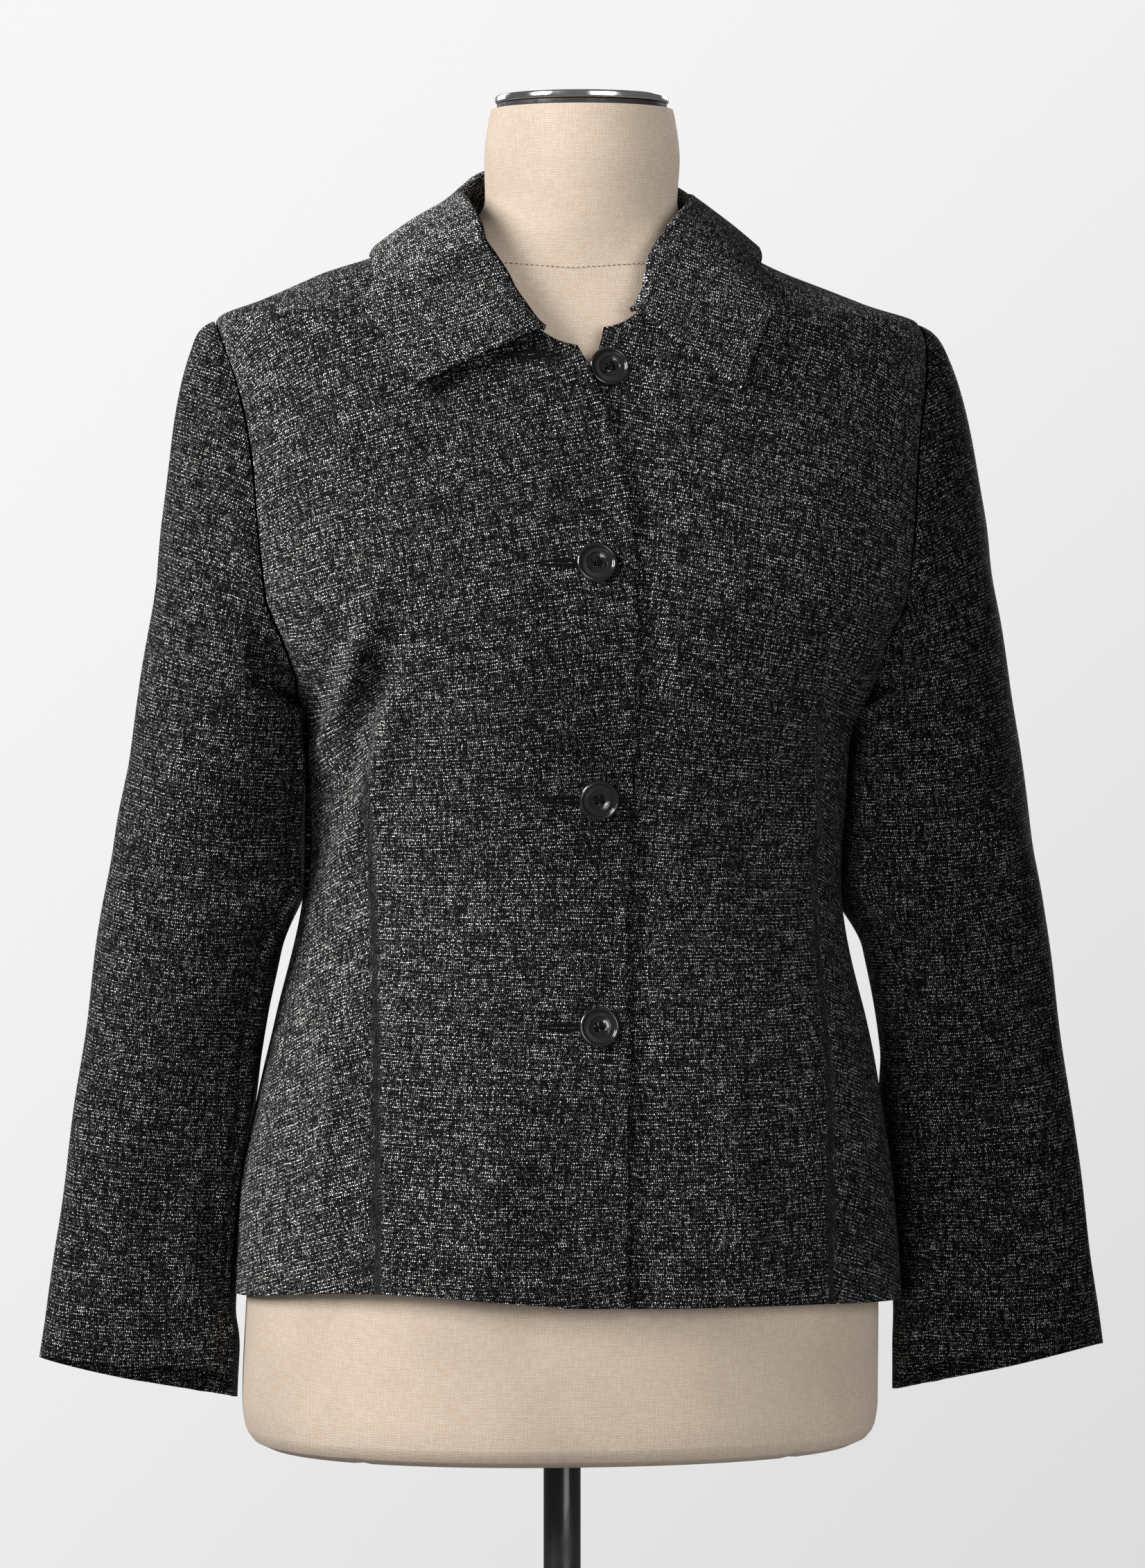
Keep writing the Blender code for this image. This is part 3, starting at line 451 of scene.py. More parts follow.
@dataclass(frozen=True)
class DartLine:
    """Sewn dart: rows of height and sideways distance from the middle."""

    rows: tuple[Pair, ...]
    depth: float = 0.0011
    half_width: float = 0.0022
    fade: float = 0.03
    swell: float = 0.35
    swell_at: float = 3.0
    swell_width: float = 2.5
    tilt: float = 0.0
    tilt_edge: float = 0.003
    tilt_fade: float = 0.11

    def offset(self, across: Array, up: Array) -> Array:
        """Sideways distance past the dart's line."""
        heights, places = zip(*self.rows)
        return across - curve_through(heights, places, up)

    def rise(self, across: Array, up: Array) -> Array:
        """Height of the dart's groove and of the soft swell beside it."""
        off = self.offset(across, up)
        share = smooth_step((self.rows[-1][0] - up) / self.fade)
        groove = bell(off, self.half_width)
        swell = bell(off - self.swell_at * self.half_width, self.swell_width * self.half_width)
        return share * self.depth * (self.swell * swell - groove)


# Waves of the drape: radians per metre along X, Y and Z, then phase
DRAPE_WAVES = (
    (41.0, 23.0, 17.0, 0.4),
    (-29.0, 36.0, 53.0, 1.9),
    (88.0, -31.0, 61.0, 4.1),
    (57.0, 97.0, -83.0, 2.7),
)
DRAPE_WANE = 0.6


def soft_ripple(points: Array, height: float) -> Array:
    """Low uneven drape made of a few crossing waves.

    Args:
        points: places on the cloth.
        height: size of the largest wave.

    Returns:
        How far each place is lifted.
    """
    total = np.zeros(points.shape[:-1])
    for number, (x, y, z, phase) in enumerate(DRAPE_WAVES):
        total += np.sin(points @ np.array([x, y, z]) + phase) / (1 + DRAPE_WANE * number)
    return height * total


@dataclass(frozen=True)
class JacketCut:
    """Borders that the jacket's panels share, on its stack of sections."""

    shell: SectionStack = SectionStack(JACKET_SECTIONS)
    form: SectionStack = SectionStack(FORM_SECTIONS)
    cloth: float = 0.0022
    seam_gap: float = 0.0003
    seam_spare: float = 0.00005
    hem_front: float = 0.794
    hem_side: dict[Side, float] = field(default_factory=lambda: {Side.RIGHT: 0.79, Side.LEFT: 0.784})
    hem_back: float = 0.788
    overlap: float = 0.0205
    edge_opens_at: float = 1.205
    edge_power: float = 2.2
    neck_corner: float = 0.009
    neck_half_width: float = 0.078
    neck_back: float = 0.058
    neck_front: dict[Side, float] = field(default_factory=lambda: {Side.RIGHT: 0.1088, Side.LEFT: 0.1052})
    neck_squareness: float = 2.6
    neck_search: Pair = (1.3, 1.443)
    neck_rounds: int = 40
    collar_end: float = math.radians(COLLAR_ROWS[0][0])
    armhole_pit: float = 1.138
    armhole_tip: float = 1.361
    armhole_turn: float = math.radians(27.0)
    side_rows: int = 14
    edge_rows: int = 19
    panel_rows: int = 26
    edge_at_pit: float = 1.13

    @property
    def half_gap(self) -> float:
        """One piece's share of a seam's gap."""
        return self.seam_gap / 2 + self.seam_spare

    def neckline(self, turn: Array, side: Side) -> ArrayPair:
        """Neckline on the jacket's surface.

        Args:
            turn: angle round the neck in plan.
            side: side of the wearer.

        Returns:
            Turn and height on the sections.
        """
        turn = np.asarray(turn, float)
        ahead = np.cos(turn) > 0
        power = np.where(ahead, 2 / self.neck_squareness, 1.0)
        deep = np.where(ahead, self.neck_front[side], self.neck_back)
        x = self.neck_half_width * np.abs(np.sin(turn)) ** power
        y = -deep * signed_power(np.cos(turn), power)
        low = np.full(turn.shape, self.neck_search[0])
        high = np.full(turn.shape, self.neck_search[1])
        for _ in range(self.neck_rounds):
            z = (low + high) / 2
            placed = np.stack([x + self.shell.middle(z), y, z], axis=-1)
            inside = self.shell.level(placed) < 1
            low = np.where(inside, z, low)
            high = np.where(inside, high, z)
        z = (low + high) / 2
        s = self.shell.read(z)
        n = s["squareness"]
        depth = np.where(y < 0, s["front"], s["back"])
        across = (np.abs(x) / s["half_width"]) ** (n / 2)
        angle = np.arctan2(across, (np.abs(y) / depth) ** (n / 2))
        return np.where(y < 0, angle, math.pi - angle), z

    def armhole(self, angle: Array, facing: Array | int) -> ArrayPair:
        """Armhole on the jacket's surface.

        Args:
            angle: 0 at the shoulder tip, pi at the pit.
            facing: 1 for the front half, -1 for the back half.

        Returns:
            Turn and height on the sections.
        """
        middle = (self.armhole_tip + self.armhole_pit) / 2
        half = (self.armhole_tip - self.armhole_pit) / 2
        turn = math.pi / 2 - facing * self.armhole_turn * np.sin(angle)
        return turn, middle + half * np.cos(angle)

    def outer_border(self, row: Array, facing: Facing, side: Side) -> ArrayPair:
        """Side seam, then armhole up to the shoulder tip.

        Args:
            row: row number, whole or not.
            facing: half of the armhole.
            side: side of the wearer.

        Returns:
            Turn and height on the sections.
        """
        past = np.clip((row - self.side_rows) / (self.panel_rows - self.side_rows), 0, 1)
        arm_turn, arm_z = self.armhole(math.pi * (1 - past), facing.value)
        seam_z = np.interp(row, (0, self.side_rows), (self.hem_side[side], self.armhole_pit))
        on_seam = row <= self.side_rows
        return np.where(on_seam, math.pi / 2, arm_turn), np.where(on_seam, seam_z, arm_z)

    def middle_height(self, row: Array, hem: float, top: float) -> Array:
        """Height along a middle edge, from the hem to the neckline."""
        return np.interp(row, (0, self.side_rows, self.edge_rows), (hem, self.edge_at_pit, top))

    def front_border(self, row: Array, side: Side) -> ArrayPair:
        """Overlapping front edge, then neckline up to the shoulder.

        Args:
            row: row number, whole or not.
            side: side of the wearer.

        Returns:
            Turn and height on the sections.
        """
        corner = math.asin((self.neck_corner / self.neck_half_width) ** (self.neck_squareness / 2))
        knots = (self.edge_rows, self.edge_rows + 1, self.panel_rows)
        neck_turn, neck_z = self.neckline(np.interp(row, knots, (corner, self.collar_end, math.pi / 2)), side)
        top = float(self.neckline(np.array([corner]), side)[1][0])
        edge_z = self.middle_height(row, self.hem_front, top)
        opened = np.clip((edge_z - self.edge_opens_at) / (top - self.edge_opens_at), 0, 1)
        edge_x = -self.overlap + (self.overlap + self.neck_corner) * opened**self.edge_power
        on_edge = row < self.edge_rows
        return (
            np.where(on_edge, self.shell.turn_at(edge_x, edge_z), neck_turn),
            np.where(on_edge, edge_z, neck_z),
        )

    def back_border(self, row: Array, side: Side) -> ArrayPair:
        """Centre back line, then neckline up to the shoulder.

        Args:
            row: row number, whole or not.
            side: side of the wearer.

        Returns:
            Turn and height on the sections.
        """
        knots = (self.edge_rows, self.panel_rows)
        neck_turn, neck_z = self.neckline(np.interp(row, knots, (math.pi, math.pi / 2)), side)
        top = float(self.neckline(np.array([math.pi]), side)[1][0])
        on_line = row < self.edge_rows
        line_z = self.middle_height(row, self.hem_back, top)
        return np.where(on_line, math.pi, neck_turn), np.where(on_line, line_z, neck_z)

    def even_rows(self, start: ArrayPair, end: ArrayPair, columns: int, side: Side) -> ArrayPair:
        """Rows between two borders, evenly spaced along the surface.

        Args:
            start: turn and height of the first border.
            end: turn and height of the last border.
            columns: number of steps along a row.
            side: side of the wearer.

        Returns:
            Turn and height of every place.
        """
        fine = np.linspace(0, 1, columns * 3 + 1)
        run = run_length(self.shell.point(*between(start, end, fine), side.value), 1)
        share = np.linspace(0, 1, columns + 1)
        return between(start, end, np.array([np.interp(share * r[-1], r, fine) for r in run]))

    def grid(self, turns: Array, heights: Array, side: Side) -> ClothGrid:
        """Places and directions on the jacket's surface."""
        at = (turns, heights, side.value)
        return ClothGrid(self.shell.point(*at), self.shell.normal(*at))


@dataclass
class Wiring:
    """Adds nodes to one node tree and joins them."""

    tree: NodeTree

    def feed(self, socket: NodeSocket, value: object) -> None:
        """Link a socket, or set it to a plain value."""
        if isinstance(value, NodeSocket):
            self.tree.links.new(value, socket)
        else:
            socket.default_value = value

    def node(self, kind: str, inputs: dict | None = None, **settings: object) -> Node:
        """Add one node.

        Args:
            kind: Blender's name for the node.
            inputs: sockets or values, by the input's name or number.
            settings: the node's own settings.

        Returns:
            The new node.
        """
        made = self.tree.nodes.new(kind)
        for name, value in settings.items():
            setattr(made, name, value)
        for name, value in (inputs or {}).items():
            self.feed(made.inputs[name], value)
        return made

    def math(self, operation: str, *values: object) -> NodeSocket:
        """Value of one sum."""
        return self.node("ShaderNodeMath", dict(enumerate(values)), operation=operation).outputs[0]

    def times(self, first: object, last: object) -> NodeSocket:
        """Product of two values."""
        return self.math("MULTIPLY", first, last)

    def scaled(self, value: object, by: object, plus: object) -> NodeSocket:
        """Value times a factor, plus a constant."""
        return self.math("MULTIPLY_ADD", value, by, plus)

    def vector(self, operation: str, *values: object) -> NodeSocket:
        """Vector of one sum."""
        return self.node("ShaderNodeVectorMath", dict(enumerate(values)), operation=operation).outputs[0]

    def ease(
        self, value: object, low: float, high: float, first: float = 0.0, last: float = 1.0
    ) -> NodeSocket:
        """Smooth change from first to last as a value goes from low to high."""
        names = ("Value", "From Min", "From Max", "To Min", "To Max")
        inputs = dict(zip(names, (value, low, high, first, last)))
        return self.node("ShaderNodeMapRange", inputs, interpolation_type="SMOOTHSTEP").outputs["Result"]

    def noise(self, place: object, scale: float, detail: float = 2.0, flat: bool = True) -> Node:
        """Cloudy noise texture."""
        inputs = {"Vector": place, "Scale": scale, "Detail": detail}
        return self.node("ShaderNodeTexNoise", inputs, noise_dimensions="2D" if flat else "3D")

    def cloud(self, place: object, scale: float, detail: float = 2.0, flat: bool = True) -> NodeSocket:
        """Value of a cloudy noise texture."""
        return self.noise(place, scale, detail, flat).outputs["Fac"]

    def sway(self, place: NodeSocket, grain: NodeSocket, way: tuple[float, float, Place]) -> NodeSocket:
        """Place moved by cloudy noise.

        Args:
            place: the place to move.
            grain: place where the noise is read.
            way: the noise's scale and detail, and the reach of the move.

        Returns:
            The moved place.
        """
        scale, detail, reach = way
        off = self.vector("SUBTRACT", self.noise(grain, scale, detail).outputs["Color"], (0.5, 0.5, 0.5))
        return self.vector("ADD", place, self.vector("MULTIPLY", off, reach))

    def chance(self, place: NodeSocket) -> Node:
        """Random colour of a cell, and a random value."""
        return self.node("ShaderNodeTexWhiteNoise", {"Vector": place}, noise_dimensions="2D")

    def mix(self, share: object, first: object, last: object, way: str = "MIX") -> NodeSocket:
        """Colour between two others."""
        made = self.node("ShaderNodeMix", data_type="RGBA", blend_type=way)
        for number, value in zip((0, 6, 7), (share, first, last)):
            self.feed(made.inputs[number], value)
        return made.outputs[2]


MILLIMETRES = (1000.0, 1000.0, 0.0)
SOCKET_KINDS = {"Grain": "NodeSocketVector"}


def new_group(name: str, inputs: tuple[str, ...], outputs: tuple[str, ...]) -> tuple[Wiring, dict, Node]:
    """Start a shader node group.

    Args:
        name: the group's name.
        inputs: names of its inputs, which are values but for the grain.
        outputs: names of its outputs, which are values.

    Returns:
        The group's wiring, its inputs by name, and its output node.
    """
    tree = bpy.data.node_groups.new(name, "ShaderNodeTree")
    for way, labels in (("INPUT", inputs), ("OUTPUT", outputs)):
        for label in labels:
            kind = SOCKET_KINDS.get(label, "NodeSocketFloat")
            tree.interface.new_socket(label, in_out=way, socket_type=kind)
    wiring = Wiring(tree)
    given = wiring.node("NodeGroupInput").outputs
    return wiring, {label: given[label] for label in inputs}, wiring.node("NodeGroupOutput")


@dataclass(frozen=True)
class FleckRows:
    """Rows of small light loops on dark yarn, in millimetres."""

    name: str = "Tweed Flecks"
    across: float = 1.28
    tall: float = 0.98
    sway: tuple[float, float, Place] = (0.035, 2.0, (1.4, 1.4, 0.0))
    jog: tuple[float, float, Place] = (0.17, 1.0, (0.6, 0.7, 0.0))
    other_cell: Place = (17.3, 41.7, 0.0)
    side_shift: Pair = (0.3, 0.35)
    rise_shift: Pair = (0.24, 0.38)
    size: Pair = (0.12, 0.32)
    lean: Pair = (0.9, -0.45)
    widen: float = 1.15
    edge: Pair = (0.5, 1.05)
    streak_way: Place = (0.048, 0.52, 0.0)
    streak: tuple[float, ...] = (0.34, 0.7, -0.55, 0.65)
    bar_way: Place = (0.62, 0.055, 0.0)
    bars: tuple[float, ...] = (0.46, 0.64, 0.18, -0.72)
    shown: Pair = (-0.1, 0.45)
    spark_power: float = 2.1
    spark: Pair = (1.42, 0.04)
    odd_rows: Pair = (-0.74, 1.0)

    def group(self) -> NodeTree:
        """Node group of the flecks.

        Returns:
            The group: grain in metres in; fleck mask, tint share and height out.
        """
        if self.name in bpy.data.node_groups:
            return bpy.data.node_groups[self.name]
        w, given, out = new_group(self.name, ("Grain", "Share", "Streaks"), ("Fleck", "Tint", "Height"))
        plain = w.vector("MULTIPLY", given["Grain"], MILLIMETRES)
        bent = w.sway(w.sway(plain, plain, self.sway), plain, self.jog)
        cells = w.node("ShaderNodeSeparateXYZ", {0: w.vector("DIVIDE", bent, (self.across, self.tall, 1.0))})
        row = w.math("FLOOR", cells.outputs["Y"])
        slip = w.node("ShaderNodeTexWhiteNoise", {"W": row}, noise_dimensions="1D").outputs["Value"]
        along = w.math("ADD", cells.outputs["X"], slip)
        cell = w.node("ShaderNodeCombineXYZ", {0: w.math("FLOOR", along), 1: row}).outputs[0]
        chance, other = w.chance(cell), w.chance(w.vector("ADD", cell, self.other_cell))
        dice, push = (
            w.node("ShaderNodeSeparateColor", {0: cast.outputs["Color"]}).outputs for cast in (chance, other)
        )
        side = w.math("SUBTRACT", w.math("FRACT", along), w.scaled(push["Red"], *self.side_shift))
        up = w.math("FRACT", cells.outputs["Y"])
        rise = w.math("SUBTRACT", up, w.scaled(push["Green"], *self.rise_shift))
        size = w.scaled(dice["Red"], *self.size)
        rise = w.times(rise, self.tall)
        side = w.scaled(rise, w.scaled(push["Blue"], *self.lean), w.times(side, self.across))
        side = w.math("DIVIDE", side, w.times(size, self.widen))
        rise = w.math("DIVIDE", rise, size)
        off = w.math("SQRT", w.math("ADD", w.times(side, side), w.times(rise, rise)))
        dot = w.ease(off, *self.edge, 1.0, 0.0)
        shown = w.ease(w.math("SUBTRACT", given["Share"], dice["Green"]), *self.shown)
        spark = w.scaled(w.math("POWER", dice["Blue"], self.spark_power), *self.spark)
        bright = w.times(spark, w.scaled(w.math("FLOORED_MODULO", row, 2.0), *self.odd_rows))
        for way, change in ((self.streak_way, self.streak), (self.bar_way, self.bars)):
            drift = w.ease(w.cloud(w.vector("MULTIPLY", bent, way), 1.0, 1.0), *change)
            bright = w.times(bright, w.scaled(drift, given["Streaks"], 1.0))
        fleck = w.math("MINIMUM", w.times(w.times(dot, shown), bright), 1.0)
        w.feed(out.inputs["Fleck"], fleck)
        w.feed(out.inputs["Tint"], chance.outputs["Value"])
        w.feed(out.inputs["Height"], w.scaled(fleck, 0.5, w.times(dot, 0.5)))
        return w.tree


@dataclass(frozen=True)
class PlainWeave:
    """Plain weave with uneven threads."""

    name: str = "Plain Weave"
    sway: tuple[float, float, Place] = (0.09, 2.0, (0.9, 0.9, 0.0))
    thread_round: float = 3.4
    dip: float = 0.55
    swap: Pair = (0.2, 0.8)
    slub_ways: tuple[Place, Place] = ((0.85, 0.16, 0.0), (0.14, 0.85, 0.0))
    slub: Pair = (0.65, 1.35)
    slub_height: float = 0.35
    shade: Pair = (0.05, 0.8)
    weft_shade: float = -0.3

    def group(self) -> NodeTree:
        """Node group of the weave.

        Returns:
            The group: grain in metres and thread pitch in; thread shade, slub and height out.
        """
        if self.name in bpy.data.node_groups:
            return bpy.data.node_groups[self.name]
        w, given, out = new_group(self.name, ("Grain", "Pitch"), ("Shade", "Slub", "Height"))
        plain = w.vector("MULTIPLY", given["Grain"], MILLIMETRES)
        bent = w.sway(plain, plain, self.sway)
        pitch = w.times(given["Pitch"], MILLIMETRES[0])
        cells = w.node("ShaderNodeSeparateXYZ", {0: bent})
        heights, ids = [], []
        for axis in ("X", "Y"):
            place = w.math("DIVIDE", cells.outputs[axis], pitch)
            off = w.math("ABSOLUTE", w.math("SUBTRACT", w.math("FRACT", place), 0.5))
            heights.append(w.math("SUBTRACT", 1.0, w.times(w.times(off, off), self.thread_round)))
            ids.append(w.math("FLOOR", place))
        over = w.ease(w.math("FLOORED_MODULO", w.math("ADD", *ids), 2.0), *self.swap)
        first = w.times(heights[0], w.scaled(over, self.dip, 1.0 - self.dip))
        last = w.times(heights[1], w.scaled(over, -self.dip, 1.0))
        dome = w.scaled(w.times(*heights), self.dip, 1.0 - self.dip)
        height = w.times(w.math("MAXIMUM", first, last), dome)
        clouds = [w.cloud(w.vector("MULTIPLY", bent, way), 1.0, 1.0) for way in self.slub_ways]
        slub = w.ease(w.math("ADD", *clouds), *self.slub)
        # Shade darkens where a thread's surface dips between crossings, a painted shade in the weave's
        # hollows; the weft step is thread tone.
        shade = w.times(w.ease(height, *self.shade), w.scaled(over, self.weft_shade, 1.0))
        w.feed(out.inputs["Shade"], shade)
        w.feed(out.inputs["Slub"], slub)
        w.feed(out.inputs["Height"], w.scaled(slub, self.slub_height, height))
        return w.tree


@dataclass(frozen=True)
class HandlingWear:
    """Handling marks and fine dust on smooth surfaces."""

    name: str = "Handling Wear"
    smear_detail: float = 4.0
    smear: tuple[float, ...] = (0.35, 0.72, -0.4, 1.0)
    grit_scale: float = 9.0
    grit_detail: float = 3.0
    grit: Pair = (0.55, 0.78)

    def group(self) -> NodeTree:
        """Node group of the wear.

        Returns:
            The group: mark size and strength in; roughness and dust share out.
        """
        if self.name in bpy.data.node_groups:
            return bpy.data.node_groups[self.name]
        w, given, out = new_group(self.name, ("Size", "Rough", "Strength"), ("Rough", "Dust"))
        place = w.node("ShaderNodeTexCoord").outputs["Object"]
        size = w.node("ShaderNodeCombineXYZ", dict.fromkeys(range(3), given["Size"])).outputs[0]
        scaled = w.vector("DIVIDE", place, size)
        smear = w.ease(w.cloud(scaled, 1.0, self.smear_detail, flat=False), *self.smear)
        w.feed(out.inputs["Rough"], w.scaled(smear, given["Strength"], given["Rough"]))
        grit = w.ease(w.cloud(scaled, self.grit_scale, self.grit_detail, flat=False), *self.grit)
        w.feed(out.inputs["Dust"], w.times(grit, given["Strength"]))
        return w.tree


def new_material(name: str) -> tuple[Wiring, Node]:
    """Start a material with a Principled shader.

    Args:
        name: the material's name.

    Returns:
        Its wiring and its shader node.
    """
    made = bpy.data.materials.new(name)
    made.use_nodes = True
    wiring = Wiring(made.node_tree)
    return wiring, made.node_tree.nodes["Principled BSDF"]


def add_bump(w: Wiring, shader: Node, height: NodeSocket, strength: float, depth: float) -> None:
    """Lead a height to a shader's normal through a Bump node."""
    bump = w.node("ShaderNodeBump", {"Height": height, "Strength": strength, "Distance": depth})
    w.feed(shader.inputs["Normal"], bump.outputs["Normal"])


@dataclass(frozen=True)
class TweedFinish:
    """Black wool tweed with off-white flecks."""

    name: str = "tweed_cloth"
    dark: Colour = (0.0012, 0.0012, 0.0015, 1.0)
    dark_worn: Colour = (0.0034, 0.0034, 0.0041, 1.0)
    cream: Colour = (0.94, 0.91, 0.82, 1.0)
    cool: Colour = (0.82, 0.86, 0.9, 1.0)
    share: float = 1.0
    streaks: float = 1.0
    hair_scale: float = 900.0
    bump: float = 0.75
    bump_depth: float = 0.0006

    def material(self) -> Material:
        """Build the cloth's material from its fleck group.

        Returns:
            The material.
        """
        w, shader = new_material(self.name)
        grain = w.node("ShaderNodeUVMap", uv_map="grain").outputs["UV"]
        weave = w.node("ShaderNodeGroup", node_tree=FleckRows().group())
        for label, value in (("Grain", grain), ("Share", self.share), ("Streaks", self.streaks)):
            w.feed(weave.inputs[label], value)
        hair = w.cloud(grain, self.hair_scale, 3.0)
        ground = w.mix(w.ease(hair, 0.35, 0.75), self.dark, self.dark_worn)
        light = w.mix(w.ease(weave.outputs["Tint"], 0.45, 0.75), self.cream, self.cool)
        w.feed(shader.inputs["Base Color"], w.mix(weave.outputs["Fleck"], ground, light))
        w.feed(shader.inputs["Roughness"], w.ease(weave.outputs["Fleck"], 0.0, 1.0, 0.96, 0.8))
        shader.inputs["Specular IOR Level"].default_value = 0.03
        shader.inputs["Sheen Weight"].default_value = 0.004
        shader.inputs["Sheen Roughness"].default_value = 0.55
        add_bump(w, shader, weave.outputs["Height"], self.bump, self.bump_depth)
        return bpy.data.materials[self.name]


@dataclass(frozen=True)
class LinenFinish:
    """Natural linen cover of the dress form."""

    thread: Colour = (0.71, 0.575, 0.455, 1.0)
    # Gap: colour of the painted shade between the threads.
    gap: Colour = (0.43, 0.33, 0.25, 1.0)
    pale: Colour = (0.81, 0.695, 0.58, 1.0)
    pitch: float = 0.00105
    stain_scale: float = 14.0
    stain: float = 0.9
    bump: float = 0.55
    bump_depth: float = 0.00025

    def material(self) -> Material:
        """Build the linen's material from its weave group.

        Returns:
            The material.
        """
        w, shader = new_material("linen_cover")
        grain = w.node("ShaderNodeUVMap", uv_map="grain").outputs["UV"]
        weave = w.node("ShaderNodeGroup", node_tree=PlainWeave().group())
        w.feed(weave.inputs["Grain"], grain)
        w.feed(weave.inputs["Pitch"], self.pitch)
        slubbed = w.mix(weave.outputs["Slub"], self.thread, self.pale)
        # The gap colour fills the dips between threads as painted shade.
        colour = w.mix(weave.outputs["Shade"], self.gap, slubbed)
        stain = w.ease(w.cloud(grain, self.stain_scale, 4.0), 0.35, 0.75, 1.0, self.stain)
        w.feed(shader.inputs["Base Color"], w.mix(1.0, colour, stain, "MULTIPLY"))
        w.feed(shader.inputs["Roughness"], w.ease(weave.outputs["Slub"], 0.0, 1.0, 0.92, 0.78))
        shader.inputs["Specular IOR Level"].default_value = 0.3
        shader.inputs["Sheen Weight"].default_value = 0.1
        shader.inputs["Sheen Roughness"].default_value = 0.45
        add_bump(w, shader, weave.outputs["Height"], self.bump, self.bump_depth)
        return bpy.data.materials["linen_cover"]


@dataclass(frozen=True)
class SmoothFinish:
    """Smooth hard surface with handling marks and a little dust."""

    name: str
    colour: Colour
    dust: Colour
    rough: float
    marks: float
    mark_size: float
    metallic: float = 0.0
    coat: float = 0.0
    specular: float = 0.5

    def material(self) -> Material:
        """Build the hard surface's material from the wear group.

        Returns:
            The material.
        """
        w, shader = new_material(self.name)
        wear = w.node("ShaderNodeGroup", node_tree=HandlingWear().group())
        for label, value in (("Size", self.mark_size), ("Rough", self.rough), ("Strength", self.marks)):
            w.feed(wear.inputs[label], value)
        w.feed(shader.inputs["Base Color"], w.mix(wear.outputs["Dust"], self.colour, self.dust))
        w.feed(shader.inputs["Roughness"], wear.outputs["Rough"])
        shader.inputs["Metallic"].default_value = self.metallic
        shader.inputs["Coat Weight"].default_value = self.coat
        shader.inputs["Specular IOR Level"].default_value = self.specular
        return bpy.data.materials[self.name]


@dataclass(frozen=True)
class ThreadFinish:
    """Matt twisted sewing thread."""

    name: str
    colour: Colour
    light: Colour
    twist: float = 2600.0
    bump: float = 0.5
    bump_depth: float = 0.0002

    def material(self) -> Material:
        """Build the thread's material.

        Returns:
            The material.
        """
        w, shader = new_material(self.name)
        place = w.node("ShaderNodeTexCoord").outputs["Object"]
        strand = w.cloud(place, self.twist, flat=False)
        w.feed(shader.inputs["Base Color"], w.mix(w.ease(strand, 0.3, 0.7), self.colour, self.light))
        shader.inputs["Roughness"].default_value = 0.95
        shader.inputs["Specular IOR Level"].default_value = 0.06
        add_bump(w, shader, strand, self.bump, self.bump_depth)
        return bpy.data.materials[self.name]


LEVEL_FACE = 0.99


def deselect_all() -> None:
    """Deselect every object before an operator runs."""
    bpy.ops.object.select_all(action="DESELECT")


def add_object(name: str, data: ID) -> Object:
    """Add an object with some data to the scene."""
    made = bpy.data.objects.new(name, data)
    bpy.context.scene.collection.objects.link(made)
    return made


def take(obj: Object) -> Object:
    """Make one object the only selected and active one."""
    deselect_all()
    obj.select_set(True)
    bpy.context.view_layer.objects.active = obj
    return obj


def apply_modifiers(obj: Object) -> None:
    """Apply every modifier of an object, in order."""
    take(obj)
    for modifier in list(obj.modifiers):
        bpy.ops.object.modifier_apply(modifier=modifier.name)


def set_place(obj: Object) -> None:
    """Put an object's place and turn into its mesh."""
    take(obj)
    bpy.ops.object.transform_apply(location=True, rotation=True, scale=True)


def wear_finish(obj: Object, finish: Material) -> None:
    """Give an object one material."""
    obj.data.materials.clear()
    obj.data.materials.append(finish)


def soften_edges(obj: Object, width: float, segments: int, sharp: float) -> None:
    """Round an object's sharp edges, and apply all its modifiers.

    Args:
        obj: the object.
        width: width of the rounding.
        segments: steps of the rounding.
        sharp: least angle of a sharp edge, in degrees.
    """
    edge = obj.modifiers.new("edge", "BEVEL")
    edge.width = width
    edge.segments = segments
    edge.limit_method = "ANGLE"
    edge.angle_limit = math.radians(sharp)
    apply_modifiers(obj)


def add_cylinder(name: str, sides: int, radius: float, depth: float, place: Place) -> Object:
    """Add a cylinder primitive.

    Args:
        name: the new object's name.
        sides: sides of its outline.
        radius: its radius.
        depth: its height.
        place: its middle.

    Returns:
        The cylinder.
    """
    deselect_all()
    bpy.ops.mesh.primitive_cylinder_add(vertices=sides, radius=radius, depth=depth, location=place)
    bpy.context.object.name = name
    return bpy.context.object


def inset_cap(obj: Object, steps: Iterable[Pair], way: int = 1) -> None:
    """Inset the level faces at one end of the active object, step by step.

    Args:
        obj: the active object.
        steps: width and height of each inset.
        way: 1 for the faces that look up, -1 for those that look down.
    """
    bpy.ops.object.mode_set(mode="EDIT")
    bpy.ops.mesh.select_mode(type="FACE")
    bpy.ops.mesh.select_all(action="DESELECT")
    bpy.ops.object.mode_set(mode="OBJECT")
    for face in obj.data.polygons:
        face.select = face.normal.z * way > LEVEL_FACE
    bpy.ops.object.mode_set(mode="EDIT")
    for width, height in steps:
        bpy.ops.mesh.inset(thickness=width, depth=height)
    bpy.ops.object.mode_set(mode="OBJECT")


